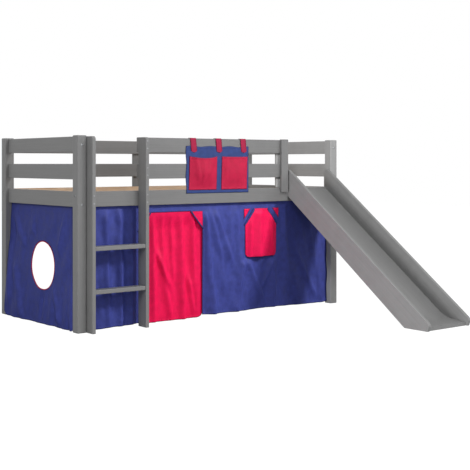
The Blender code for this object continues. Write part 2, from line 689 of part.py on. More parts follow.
def front_wave(along, level):
    grow = ease(CURTAIN_TOP - level, TAPE_HEIGHT, CURTAIN_HEIGHT)
    turn = 2 * math.pi
    wave = math.sin(turn * along / FOLD_PITCH)
    wave += SMALL_FOLD_SHARE * math.sin(turn * along / SMALL_FOLD_PITCH)
    depth = FOLD_DEPTH * grow * wave * calm(along, level)
    # the V of two soft folds that starts under the window
    below = ease(WINDOW_BOTTOM - level, 0, FOLD_CALM)
    spread = V_FOLD_SPREAD * (WINDOW_BOTTOM - level) / WINDOW_BOTTOM
    for middle in (WINDOW_MIDDLE - spread, WINDOW_MIDDLE + spread):
        away = (along - middle) / V_FOLD_WIDTH
        depth -= V_FOLD_DEPTH * below * math.exp(-away * away)
    # the fold that runs down beside the doorway and drifts away from it
    middle = DOOR_RIGHT + EDGE_FOLD_START + EDGE_FOLD_DRIFT * (1 - level / DOOR_TOP)
    away = (along - middle) / EDGE_FOLD_WIDTH
    return depth - EDGE_FOLD_DEPTH * grow * math.exp(-away * away)


def front_spot(u, v):
    start, end = POST_SIDE + CURTAIN_SIDE, BED_LENGTH - POST_SIDE - CURTAIN_SIDE
    along = start + (end - start) * u
    rise = (CURTAIN_LIFT_RIGHT - CURTAIN_LIFT_LEFT) * ease(along, DOOR_LEFT, DOOR_RIGHT)
    low = CURTAIN_LIFT_LEFT + rise
    level = low + (CURTAIN_TOP - low) * v
    return (along, CLOTH_PLANE + front_wave(along, level), level)


def prism(outline, near, far, axis):
    """A closed cutter with the outline across the given axis."""
    cutter = bmesh.new()
    rings = []
    for depth in (near, far):
        ring = []
        for first, second in outline:
            spot = {"x": (depth, first, second), "y": (first, depth, second)}[axis]
            ring.append(cutter.verts.new(spot))
        rings.append(ring)
        cutter.faces.new(ring)
    for index in range(len(outline)):
        after = (index + 1) % len(outline)
        cutter.faces.new((rings[0][index], rings[0][after], rings[1][after], rings[1][index]))
    return cutter


front_curtain = sheet("front_curtain", CURTAIN_COLUMNS, CURTAIN_ROWS, front_spot, CLOTH, "y",
                      (POST_SIDE, CLOTH_PLANE, CURTAIN_TOP), BLUE_CLOTH)
REACH_FRONT, REACH_BACK = RAIL_SETBACK, CLOTH_PLANE + POST_SIDE
doorway = [(DOOR_LEFT, -CURTAIN_LIFT_LEFT), (DOOR_RIGHT, -CURTAIN_LIFT_LEFT),
           (DOOR_RIGHT, DOOR_TOP - DOOR_CORNER_HEIGHT), (DOOR_RIGHT - DOOR_CORNER_WIDTH, DOOR_TOP),
           (DOOR_LEFT + DOOR_CORNER_WIDTH, DOOR_TOP), (DOOR_LEFT, DOOR_TOP - DOOR_CORNER_HEIGHT)]
cut(front_curtain, prism(doorway, REACH_FRONT, REACH_BACK, "y"))
window = [(WINDOW_LEFT + WINDOW_OVERLAP, WINDOW_BOTTOM + WINDOW_OVERLAP),
          (WINDOW_RIGHT - WINDOW_OVERLAP, WINDOW_BOTTOM + WINDOW_OVERLAP),
          (WINDOW_RIGHT - WINDOW_OVERLAP, WINDOW_TOP - WINDOW_CORNER_HEIGHT - WINDOW_OVERLAP / 2),
          (WINDOW_RIGHT - WINDOW_CORNER_WIDTH - WINDOW_OVERLAP / 2, WINDOW_TOP - WINDOW_OVERLAP),
          (WINDOW_LEFT + WINDOW_CORNER_WIDTH + WINDOW_OVERLAP / 2, WINDOW_TOP - WINDOW_OVERLAP),
          (WINDOW_LEFT + WINDOW_OVERLAP, WINDOW_TOP - WINDOW_CORNER_HEIGHT - WINDOW_OVERLAP / 2)]
cut(front_curtain, prism(window, REACH_FRONT, REACH_BACK, "y"))

# Door curtain: hangs behind the doorway and laps its edges, its upper seam behind the valance
DOOR_SEAM_PLANE = CLOTH_PLANE + CLOTH + FIT
DOOR_HINGE_LEVEL = DOOR_TOP + DOOR_SEAM


def door_spot(u, v):
    start, end = DOOR_LEFT - DOOR_LAP, DOOR_RIGHT + DOOR_LAP
    along = start + (end - start) * u
    side = min(along - start, end - along)
    low = DOOR_LIFT + corner_rise(side, DOOR_CORNER_RADIUS)
    level = low + (DOOR_HINGE_LEVEL - low) * v
    below = ease(DOOR_HINGE_LEVEL - level, DOOR_SEAM, DOOR_CORNER_HEIGHT)
    turn = 2 * math.pi
    wave = math.sin(turn * (along - DOOR_LEFT) / DOOR_FOLD_PITCH)
    small = (along - DOOR_LEFT) / DOOR_SMALL_PITCH + DOOR_SHIFT_SHARE
    wave += DOOR_SMALL_SHARE * math.sin(turn * small)
    grow = ease(DOOR_HINGE_LEVEL - level, DOOR_SEAM, DOOR_TOP)
    size = DOOR_TOP_FOLD_SHARE + (1 - DOOR_TOP_FOLD_SHARE) * grow
    free = ease(side, DOOR_LAP, DOOR_LAP + DOOR_CALM)
    depth = DOOR_BEHIND + DOOR_FOLD_DEPTH * size * wave * free
    return (along, DOOR_SEAM_PLANE + depth * below, level)


sheet("door_curtain", DOOR_COLUMNS, DOOR_ROWS, door_spot, CLOTH, "y",
      (DOOR_LEFT, DOOR_SEAM_PLANE, DOOR_HINGE_LEVEL), RED_CLOTH)


def mirror(outline, middle):
    return [(2 * middle - first, second) for first, second in outline][::-1]


# Corner trims: red cloth with a blue ribbon across each upper corner of the doorway
DOOR_MIDDLE = (DOOR_LEFT + DOOR_RIGHT) / 2
patch_far = CLOTH_PLANE - CLOTH / 2 - FIT
lean = math.hypot(DOOR_CORNER_WIDTH, DOOR_CORNER_HEIGHT)
across = TRIM_OVERLAP * lean / DOOR_CORNER_HEIGHT
down = TRIM_OVERLAP * lean / DOOR_CORNER_WIDTH
trim = [(DOOR_RIGHT + TRIM_OVERLAP, DOOR_TOP + TRIM_OVERLAP),
        (DOOR_RIGHT - DOOR_CORNER_WIDTH + across, DOOR_TOP + TRIM_OVERLAP),
        (DOOR_RIGHT - DOOR_CORNER_WIDTH, DOOR_TOP), (DOOR_RIGHT, DOOR_TOP - DOOR_CORNER_HEIGHT),
        (DOOR_RIGHT + TRIM_OVERLAP, DOOR_TOP - DOOR_CORNER_HEIGHT + down)]
for side_name, outline in (("right", trim), ("left", mirror(trim, DOOR_MIDDLE))):
    plank("door_corner_trim_" + side_name, outline, patch_far - CLOTH, patch_far, "y", paint=RED_CLOTH,
          place=(outline[0][0], patch_far, DOOR_TOP))

# Red corner patches sewn on the curtain beside the window flap
FLAP_SEAM_PLANE = patch_far - CLOTH / 2
patch = [(WINDOW_LEFT - WINDOW_PATCH_OUT, WINDOW_TOP),
         (WINDOW_LEFT - WINDOW_PATCH_OUT + PATCH_WIDTH, WINDOW_TOP),
         (WINDOW_LEFT - WINDOW_PATCH_OUT, WINDOW_TOP - PATCH_HEIGHT)]
for side_name, outline in (("left", patch), ("right", mirror(patch, WINDOW_MIDDLE))):
    plank("window_patch_" + side_name, outline, patch_far - CLOTH, patch_far, "y", paint=RED_CLOTH,
          place=(outline[0][0], patch_far, WINDOW_TOP))


# Window flap: hangs from its upper seam, its upper corners cut off aslant
def flap_spot(u, v):
    along = WINDOW_LEFT + (WINDOW_RIGHT - WINDOW_LEFT) * u
    side = min(along - WINDOW_LEFT, WINDOW_RIGHT - along)
    high = WINDOW_TOP - WINDOW_CORNER_HEIGHT * max(0, 1 - side / WINDOW_CORNER_WIDTH)
    low = WINDOW_BOTTOM + corner_rise(side, WINDOW_CORNER_RADIUS)
    level = low + (high - low) * v
    drop = (WINDOW_TOP - level) / (WINDOW_TOP - WINDOW_BOTTOM)
    bow = math.sin(math.pi * u) * FLAP_BULGE
    depth = (bow + FLAP_STAND_SHARE * FLAP_BULGE) * ease(drop, 0, 1)
    return (along, FLAP_SEAM_PLANE - depth, level)


sheet("window_flap", FLAP_COLUMNS, FLAP_ROWS, flap_spot, CLOTH, "y",
      (WINDOW_LEFT, FLAP_SEAM_PLANE, WINDOW_TOP), RED_CLOTH)


# End curtain with its round peep hole and the binding round the hole
def end_depth(along, level):
    """Distance of the end curtain from the bed end: it flares outward towards the floor."""
    share = (along - POST_SIDE) / (BED_WIDTH - 2 * POST_SIDE)
    flare = END_FLARE_FRONT + (END_FLARE_BACK - END_FLARE_FRONT) * share * share
    drop = ease(CURTAIN_TOP - level, TAPE_HEIGHT, CURTAIN_TOP)
    wave = math.sin(2 * math.pi * along / END_FOLD_PITCH) * END_FOLD_DEPTH
    edge = min(along - POST_SIDE, BED_WIDTH - POST_SIDE - along) / (END_FOLD_PITCH * END_RELEASE_SHARE)
    return CLOTH_PLANE - flare * drop + wave * drop * min(1, edge)


def end_spot(u, v):
    start, end = POST_SIDE + CURTAIN_SIDE, BED_WIDTH - POST_SIDE - CURTAIN_SIDE
    along = start + (end - start) * u
    side = min(along - start, end - along)
    low = END_LIFT + corner_rise(side, END_CORNER_RADIUS)
    level = low + (CURTAIN_TOP - low) * v
    return (end_depth(along, level), along, level)


end_curtain = sheet("end_curtain", END_COLUMNS, END_ROWS, end_spot, CLOTH, "x",
                    (CLOTH_PLANE, POST_SIDE, CURTAIN_TOP), BLUE_CLOTH)
hole = arc((END_HOLE_ALONG, END_HOLE_LEVEL), END_HOLE_RADIUS, 0, 2 * math.pi, HOLE_SIDES)[:-1]
cut(end_curtain, prism(hole, -POST_SIDE, CLOTH_PLANE + POST_SIDE, "x"))

made = bmesh.new()
rings = []
for index in range(HOLE_SIDES):
    angle = 2 * math.pi * index / HOLE_SIDES
    ring = []
    outer_edge = END_HOLE_RADIUS * math.cos(math.pi / HOLE_SIDES) - FIT
    for radius, way in ((outer_edge, 1), (outer_edge, -1),
                        (outer_edge - BINDING_WIDTH, -1), (outer_edge - BINDING_WIDTH, 1)):
        along = END_HOLE_ALONG + radius * math.cos(angle)
        level = END_HOLE_LEVEL + radius * math.sin(angle)
        ring.append(made.verts.new((end_depth(along, level) + way * BINDING_THICKNESS / 2, along, level)))
    rings.append(ring)
for index in range(HOLE_SIDES):
    after = (index + 1) % HOLE_SIDES
    for side in range(len(rings[0])):
        following = (side + 1) % len(rings[0])
        made.faces.new((rings[index][side], rings[after][side],
                        rings[after][following], rings[index][following]))
finish(made, "peep_hole_binding", (CLOTH_PLANE, END_HOLE_ALONG, END_HOLE_LEVEL), RED_CLOTH)

# Pocket organizer: backing, straps over the guard rail, two pockets
BACKING_PLANE = RAIL_SETBACK - ORGANIZER_STAND_OFF - CLOTH / 2


def backing_spot(u, v):
    level = ORGANIZER_BOTTOM + (ORGANIZER_TOP - ORGANIZER_BOTTOM) * v
    along = ORGANIZER_LEFT + (ORGANIZER_RIGHT - ORGANIZER_LEFT) * u
    turn = 2 * math.pi
    along += ORGANIZER_WAVE * math.sin(turn * level / ORGANIZER_WAVE_PITCH) * (1 - u)
    level += ORGANIZER_WAVE * math.sin(turn * along / ORGANIZER_WAVE_PITCH) * (1 - v)
    return (along, BACKING_PLANE, level)


ORGANIZER_PLACE = (ORGANIZER_LEFT, BACKING_PLANE, ORGANIZER_TOP)
sheet("organizer_backing", BACKING_COLUMNS, BACKING_ROWS, backing_spot, CLOTH, "y",
      ORGANIZER_PLACE, BLUE_CLOTH)

strap_far = BACKING_PLANE - CLOTH / 2 - FIT
strap_rise = GUARD_TOP + FIT
thick = STRAP_THICKNESS
behind = RAIL_BACK + FIT
strap_end = GUARD_TOP - STRAP_REACH
inside = [(strap_far, strap_end), (strap_far, strap_rise), (behind, strap_rise),
          (behind, GUARD_TOP - STRAP_BEHIND)]
outside = [(strap_far - thick, strap_end), (strap_far - thick, strap_rise + STRAP_CROWN),
           (strap_far, strap_rise + thick + STRAP_CROWN), (behind, strap_rise + thick + STRAP_CROWN),
           (behind + thick, strap_rise + STRAP_CROWN), (behind + thick, GUARD_TOP - STRAP_BEHIND)]
outline = outside + inside[::-1]
for number in range(STRAP_COUNT):
    start = ORGANIZER_LEFT + STRAP_MARGIN + number * STRAP_PITCH
    made = prism(outline, start, start + STRAP_WIDTH, "x")
    # the front leg leans to the right on its way down
    for vertex in made.verts:
        if vertex.co.y < RAIL_SETBACK:
            vertex.co.x += STRAP_LEAN * (GUARD_TOP - vertex.co.z) / RAIL_HEIGHT
    finish(made, "organizer_strap_" + str(number + 1), ORGANIZER_PLACE, RED_CLOTH)

pocket_plane = strap_far - POCKET_CLOTH / 2
POCKET_LEVEL = ORGANIZER_TOP - POCKET_DROP
POCKET_FOOT = POCKET_LEVEL - POCKET_HEIGHT
left_start = ORGANIZER_LEFT + POCKET_MARGIN
right_start = left_start + POCKET_WIDTH[0] + POCKET_GAP
SPANS = ((left_start, left_start + POCKET_WIDTH[0]), (right_start, right_start + POCKET_WIDTH[1]))
for side_name, span, bulge, sag in (("left", SPANS[0], POCKET_BULGE[0], POCKET_SAG[0]),
                                    ("right", SPANS[1], POCKET_BULGE[1], POCKET_SAG[1])):
    def pocket_spot(u, v, span=span, bulge=bulge, sag=sag):
        high = POCKET_LEVEL - sag * math.sin(math.pi * u)
        level = POCKET_FOOT + (high - POCKET_FOOT) * v
        along = span[0] + (span[1] - span[0]) * u - POCKET_LEAN * (1 - v)
        out = bulge * math.sin(math.pi * u) * ease(v, 0, POCKET_FILL_SHARE)
        return (along, pocket_plane - out, level)

    sheet("organizer_pocket_" + side_name, POCKET_COLUMNS, POCKET_ROWS, pocket_spot, POCKET_CLOTH,
          "y", ORGANIZER_PLACE, RED_CLOTH)

# Round faces are shaded smooth, edges sharper than the named angle stay crisp
for mesh in {made.data for made in bpy.data.objects if made.type == "MESH"}:
    mesh.polygons.foreach_set("use_smooth", [True] * len(mesh.polygons))
    mesh.set_sharp_from_angle(angle=SHARP_ANGLE)
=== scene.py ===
# A children's mid-height bed of grey lacquered pine with a bolted ladder, a slide, play curtains
# and a pocket organizer. Lengths are in metres. Cloth is drawn in the bed's own directions: along
# the bed from its left end, out from the posts' front faces to the back, and up from the floor.
import math

import bmesh
import bpy
import numpy as np
from mathutils import Matrix, Vector, noise


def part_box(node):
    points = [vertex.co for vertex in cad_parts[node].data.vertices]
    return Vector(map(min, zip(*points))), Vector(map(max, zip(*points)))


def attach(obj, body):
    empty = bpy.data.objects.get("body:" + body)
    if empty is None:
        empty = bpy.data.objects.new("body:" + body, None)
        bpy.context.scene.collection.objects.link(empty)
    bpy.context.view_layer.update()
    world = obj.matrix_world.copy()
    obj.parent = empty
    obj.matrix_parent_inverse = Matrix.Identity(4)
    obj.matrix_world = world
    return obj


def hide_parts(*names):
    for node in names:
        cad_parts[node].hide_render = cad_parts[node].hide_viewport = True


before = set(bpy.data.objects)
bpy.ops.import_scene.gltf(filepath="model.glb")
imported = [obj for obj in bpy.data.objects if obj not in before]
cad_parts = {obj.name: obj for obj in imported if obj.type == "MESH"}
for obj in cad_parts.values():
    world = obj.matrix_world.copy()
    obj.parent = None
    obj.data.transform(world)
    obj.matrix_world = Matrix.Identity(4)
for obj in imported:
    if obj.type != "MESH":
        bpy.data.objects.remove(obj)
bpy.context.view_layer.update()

# Camera: level, at the height of the guard rail's lower edge, ahead and to the left of the bed.
# A long lens; its picture is slid down instead of the camera tilted, so the posts stay upright.
camera = bpy.data.objects.new("camera", bpy.data.cameras.new("camera"))
bpy.context.scene.collection.objects.link(camera)
camera.location = (-3.9004, -4.9312, 0.9788)
camera.rotation_euler = (math.pi / 2, 0, -0.6695)
camera.data.sensor_width = 36
camera.data.lens = 76.64
camera.data.shift_x = 0.0080
camera.data.shift_y = -0.1529
bpy.context.scene.camera = camera
bpy.context.scene.view_settings.view_transform = "Standard"


# Studio: a matt white floor, round soft lamps and pale light from all round. Some lamps light only
# the wood, the cloth or one end, which evens out what the bed's own parts shade. The camera and
# mirror-like surfaces see the room white; the floor keeps its shadow.
def hex_colour(code):
    """A colour written as sRGB hex, turned linear."""
    channels = [int(code[place:place + 2], 16) / 255 for place in (1, 3, 5)]
    return [c / 12.92 if c <= 0.04045 else ((c + 0.055) / 1.055) ** 2.4 for c in channels] + [1]


def add(tree, kind, given):
    """Adds a shader node; `given` holds its settings, its sockets' values and its links."""
    node = tree.nodes.new("ShaderNode" + kind)
    for name, value in given.items():
        if isinstance(name, str) and name not in node.inputs:
            setattr(node, name, value)
        elif isinstance(value, bpy.types.NodeSocket):
            tree.links.new(value, node.inputs[name])
        else:
            node.inputs[name].default_value = value
    return node


FLOOR_PALE = hex_colour("#CFCFCF")
FLOOR_HALF = 14
SHADOW_KEPT = 0.16
PAPER_WHITE = 1.20
ROOM_LIGHT = 0.45
# name, place, the point the lamp is turned to, size, power, and what alone it lights
LAMPS = (("key_lamp", (0.45, -2.95, 3.95), (0.0, 0.0, 0.5), 0.80, 61, None),
         ("left_lamp", (-7.0, -1.5, 2.2), (0.0, 0.0, 0.6), 2.0, 92, "all but cloth"),
         ("front_lamp", (0.0, -7.0, 1.6), (0.0, 0.0, 0.6), 2.0, 108, "all but cloth"),
         ("right_lamp", (5.0, -5.0, 2.5), (0.0, 0.0, 0.6), 1.5, 40, None),
         ("cloth_lamp", (2.3, -3.0, 3.4), (0.0, 0.1, 0.3), 0.70, 232, "cloth"),
         ("fill_lamp", (-2.2, -4.2, 1.8), (0.7, 0.1, 0.4), 1.50, 34, "cloth"),
         ("peep_lamp", (-2.9, -3.8, 1.8), (-1.0, 0.6, 0.4), 0.50, 150, "end cloth"),
         ("end_lamp", (-1.1, -1.6, 1.9), (0.95, 0.2, 0.8), 0.50, 84, "right end"),
         ("slide_lamp", (-2.6, -1.5, 0.45), (0.65, -0.5, 0.45), 0.60, 60, "slide"))

world = bpy.data.worlds.new("studio")
world.use_nodes = True
tree = world.node_tree
tree.nodes.clear()
ray = add(tree, "LightPath", {})
seen = add(tree, "Math", {"operation": "MAXIMUM", 0: ray.outputs["Is Camera Ray"],
                          1: ray.outputs["Is Glossy Ray"]})
room = add(tree, "Background", {"Color": (1, 1, 1, 1), "Strength": ROOM_LIGHT})
white = add(tree, "Background", {"Color": (1, 1, 1, 1), "Strength": 1.0})
mixed = add(tree, "MixShader", {0: seen.outputs[0], 1: room.outputs[0], 2: white.outputs[0]})
add(tree, "OutputWorld", {"Surface": mixed.outputs[0]})
bpy.context.scene.world = world

lit_alone = {}
for name, place, target, size, power, receivers in LAMPS:
    lamp = bpy.data.objects.new(name, bpy.data.lights.new(name, "AREA"))
    lamp.data.shape = "DISK"
    lamp.data.size = size
    lamp.data.energy = power
    lamp.location = place
    lamp.rotation_euler = (Vector(target) - lamp.location).to_track_quat("-Z", "Y").to_euler()
    lamp.visible_camera = False
    bpy.context.scene.collection.objects.link(lamp)
    if receivers:
        if receivers not in lit_alone:
            lit_alone[receivers] = bpy.data.collections.new("lit alone: " + receivers)
        lamp.light_linking.receiver_collection = lit_alone[receivers]

floor_mesh = bmesh.new()
bmesh.ops.create_grid(floor_mesh, x_segments=1, y_segments=1, size=FLOOR_HALF)
mesh = bpy.data.meshes.new("floor")
floor_mesh.to_mesh(mesh)
floor_mesh.free()
floor = bpy.data.objects.new("floor", mesh)
bpy.context.scene.collection.objects.link(floor)
# paper scatters light evenly; to the camera it glows white, with a part of the shadow kept
paper = bpy.data.materials.new("matt white studio paper")
paper.use_nodes = True
tree = paper.node_tree
tree.nodes.clear()
ray = add(tree, "LightPath", {})
matt = add(tree, "BsdfDiffuse", {"Color": FLOOR_PALE})
glow = add(tree, "Emission", {"Color": (1, 1, 1, 1), "Strength": PAPER_WHITE})
blown = add(tree, "MixShader", {0: 1 - SHADOW_KEPT, 1: matt.outputs[0], 2: glow.outputs[0]})
mixed = add(tree, "MixShader", {0: ray.outputs["Is Camera Ray"], 1: matt.outputs[0],
                                2: blown.outputs[0]})
add(tree, "OutputMaterial", {"Surface": mixed.outputs[0]})
mesh.materials.append(paper)


# Posts, rails and guard boards: planed pine under an opaque grey lacquer, sprayed and rubbed
# down. The lacquer fills the wood's pores, so the grain only ripples it and shades it a little.
LACQUER_GREY = "#808080"
LACQUER_LIGHT = "#858585"
LACQUER_DARK = "#7B7B7B"
LACQUER_GLOSS = (0.46, 0.58)
LACQUER_RIPPLE = 0.0003
# growth rings are 2 to 4 mm apart; drawn 6.5 mm apart so that they show
GRAIN_LENGTH = 0.34
GRAIN_WIDTH = 0.0065
RUB_MARK = 0.055


def lacquered_pine(name, turn):
    """Satin lacquer whose faint grain runs along the direction that `turn` gives the X axis."""
    made = bpy.data.materials.new("grey lacquered pine, grain " + name)
    made.use_nodes = True
    tree = made.node_tree
    shader = tree.nodes["Principled BSDF"]
    shader.inputs["IOR"].default_value = 1.5
    place = add(tree, "TexCoord", {}).outputs["Object"]
    grain = add(tree, "Mapping", {"vector_type": "TEXTURE", "Vector": place, "Rotation": turn,
                                  "Scale": (GRAIN_LENGTH, GRAIN_WIDTH, GRAIN_WIDTH)})
    lines = add(tree, "TexNoise", {"Vector": grain.outputs[0], "Scale": 1.0, "Detail": 3.0,
                                   "Roughness": 0.55, "Distortion": 0.4})
    cloudy = add(tree, "TexNoise", {"Vector": place, "Scale": 1 / RUB_MARK, "Detail": 2.0})
    both = add(tree, "Mix", {"data_type": "FLOAT", 0: 0.35, 2: lines.outputs[0],
                             3: cloudy.outputs[0]})
    tone = add(tree, "ValToRGB", {"Fac": both.outputs[0]})
    tone.color_ramp.elements[0].position = 0.30
    tone.color_ramp.elements[0].color = hex_colour(LACQUER_DARK)
    tone.color_ramp.elements[1].position = 0.72
    tone.color_ramp.elements[1].color = hex_colour(LACQUER_LIGHT)
    tone.color_ramp.elements.new(0.5).color = hex_colour(LACQUER_GREY)
    gloss = add(tree, "MapRange", {"Value": cloudy.outputs[0], "From Min": 0.3, "From Max": 0.7,
                                   "To Min": LACQUER_GLOSS[0], "To Max": LACQUER_GLOSS[1]})
    ripple = add(tree, "Bump", {"Height": lines.outputs[0], "Strength": 0.25,
                                "Distance": LACQUER_RIPPLE})
    tree.links.new(tone.outputs[0], shader.inputs["Base Color"])
    tree.links.new(gloss.outputs[0], shader.inputs["Roughness"])
    tree.links.new(ripple.outputs[0], shader.inputs["Normal"])
    return made


ALONG_BED = lacquered_pine("along the bed", (0, 0, 0))
ACROSS_BED = lacquered_pine("across the bed", (0, 0, math.pi / 2))
UPRIGHT = lacquered_pine("upright", (0, math.pi / 2, 0))


def coat(node, surface):
    """Gives a node its finish in place of the plain one it comes with."""
    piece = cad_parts[node]
    for slot in piece.material_slots:
        slot.material = surface


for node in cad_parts:
    if node.startswith("post_") or node.endswith("_board"):
        coat(node, UPRIGHT)
    elif node.startswith("back_rail") or node.startswith("guard_rail") or node == "front_side_rail":
        coat(node, ALONG_BED)
    elif "_end_rail_" in node:
        coat(node, ACROSS_BED)
    # the front of the bed shades these from the lamps, so they have a lamp of their own
    if node.startswith("right_end_rail_") or node in ("post_front_right", "guard_inner_board"):
        lit_alone["right end"].objects.link(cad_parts[node])
    elif node.startswith("slide_side_"):
        lit_alone["slide"].objects.link(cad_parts[node])

# Ladder: two upright boards with rounded tops, screwed to the side rail, and two flat rungs
# between them. The same lacquer as the bed, sprayed before the ladder was put together.
for node in ("ladder_stile_left", "ladder_stile_right"):
    coat(node, UPRIGHT)
for node in ("ladder_rung_lower", "ladder_rung_upper"):
    coat(node, ALONG_BED)

# Slide: two sawn side boards, a bed between them that eases out flat at the floor and two
# battens under it, all in the same lacquer, its grain following the slope.
SLIDE_SLOPE = math.radians(36.0)
DOWN_SLIDE = lacquered_pine("down the slide", (0, -SLIDE_SLOPE, math.pi / 2))
for node in ("slide_side_left", "slide_side_right", "slide_bed"):
    coat(node, DOWN_SLIDE)
for node in ("slide_batten_low", "slide_batten_top"):
    coat(node, ALONG_BED)

# Furniture bolts: steel with a flat round head and a hexagon socket, screwed through the posts
# into the rails' ends. Bright zinc plating: a grey metal sheen, mottled by the zinc's crystals.
BOLT_HEAD = 0.0070
BOLT_SHANK = 0.0030
HEAD_HEIGHT = 0.0040
HEAD_CHAMFER = 0.0006
SOCKET_FLATS = 0.0040
SOCKET_DEPTH = 0.0028
BOLT_SIDES = 24
# zinc flowers are well under a millimetre; drawn at 1.5 mm so that they show
ZINC_FLOWER = 0.0015
ZINC_GLOSS = (0.28, 0.42)
SHARP_EDGE = math.radians(38)

zinc = bpy.data.materials.new("zinc plated steel")
zinc.use_nodes = True
tree = zinc.node_tree
shader = tree.nodes["Principled BSDF"]
shader.inputs["Metallic"].default_value = 1.0
place = add(tree, "TexCoord", {}).outputs["Object"]
flower = add(tree, "TexVoronoi", {"Vector": place, "Scale": 1 / ZINC_FLOWER})
tone = add(tree, "ValToRGB", {"Fac": flower.outputs["Distance"]})
tone.color_ramp.elements[0].color = hex_colour("#8F9296")
tone.color_ramp.elements[1].color = hex_colour("#B4B6B8")
rough = add(tree, "MapRange", {"Value": flower.outputs["Distance"], "To Min": ZINC_GLOSS[0],
                               "To Max": ZINC_GLOSS[1]})
tree.links.new(tone.outputs[0], shader.inputs["Base Color"])
tree.links.new(rough.outputs[0], shader.inputs["Roughness"])


def new_piece(shape, name, surface, body="bed"):
    """Makes a finished mesh into a smooth shaded piece that rides on a body."""
    mesh = bpy.data.meshes.new(name)
    shape.to_mesh(mesh)
    shape.free()
    mesh.polygons.foreach_set("use_smooth", [True] * len(mesh.polygons))
    mesh.set_sharp_from_angle(angle=SHARP_EDGE)
    mesh.materials.append(surface)
    piece = bpy.data.objects.new(name, mesh)
    bpy.context.scene.collection.objects.link(piece)
    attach(piece, body)
    return piece


bed_middle = (Vector(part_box("post_front_left")[0]) + Vector(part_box("post_back_right")[1])) / 2
for node in [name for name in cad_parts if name.startswith("bolt_")]:
    low, high = (Vector(end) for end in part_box(node))
    middle, size = (low + high) / 2, high - low
    axis = max(range(3), key=lambda place: size[place])
    # the head is at the end that lies nearer the outside of the bed
    outward = Vector((0, 0, 0))
    outward[axis] = 1 if middle[axis] > bed_middle[axis] else -1
    head = middle + outward * size[axis] / 2
    bolt = bmesh.new()
    bmesh.ops.create_circle(bolt, cap_ends=True, radius=BOLT_HEAD - HEAD_CHAMFER,
                            segments=BOLT_SIDES)
    bolt.faces.ensure_lookup_table()
    top = bolt.faces[0]
    # the socket's edge is the circle of a ring of points drawn in to a hexagon
    bmesh.ops.inset_region(bolt, faces=[top], thickness=BOLT_HEAD / 3, depth=0)
    for vertex in top.verts:
        angle = math.atan2(vertex.co.y, vertex.co.x) % (math.pi / 3) - math.pi / 6
        vertex.co = vertex.co.normalized() * SOCKET_FLATS / 2 / math.cos(angle)
    deep = bmesh.ops.extrude_face_region(bolt, geom=[top])
    bmesh.ops.delete(bolt, geom=[top], context="FACES_ONLY")
    floor_points = [part for part in deep["geom"] if isinstance(part, bmesh.types.BMVert)]
    bmesh.ops.translate(bolt, vec=(0, 0, -SOCKET_DEPTH), verts=floor_points)
    for radius, level in ((BOLT_HEAD, -HEAD_CHAMFER), (BOLT_HEAD, -HEAD_HEIGHT),
                          (BOLT_SHANK, -HEAD_HEIGHT), (BOLT_SHANK, -size[axis])):
        edges = [edge for edge in bolt.edges if edge.is_boundary]
        grown = bmesh.ops.extrude_edge_only(bolt, edges=edges)
        for part in grown["geom"]:
            if isinstance(part, bmesh.types.BMVert):
                part.co = Vector((part.co.x, part.co.y, 0)).normalized() * radius
                part.co.z = level
    bmesh.ops.holes_fill(bolt, edges=[edge for edge in bolt.edges if edge.is_boundary], sides=0)
    bmesh.ops.recalc_face_normals(bolt, faces=bolt.faces)
    turn = Vector((0, 0, 1)).rotation_difference(outward).to_matrix().to_4x4()
    bmesh.ops.transform(bolt, matrix=Matrix.Translation(head) @ turn, verts=bolt.verts)
    piece = new_piece(bolt, node + "_turned", zinc)
    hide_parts(node)

# Wood screws: countersunk zinc plated heads with a cross recess, sunk flush into the ladder's
# stiles, the boards behind and before the rails, the slide's sides and the slat ledgers.
SCREW_HEAD = 0.0045
SCREW_SIDES = 24
SCREW_PROUD = 0.0003
CROSS_REACH = 0.0026
CROSS_WIDTH = 0.0010
CROSS_DEPTH = 0.0012
RAIL_SCREW_INSET = 0.0225
LEDGER_SCREW_INSET = 0.015
TOUCHING = 0.002
RAIL_OVERHANG = 0.01
LEDGER_SCREW_SHARES = (0.05, 0.275, 0.5, 0.725, 0.95)


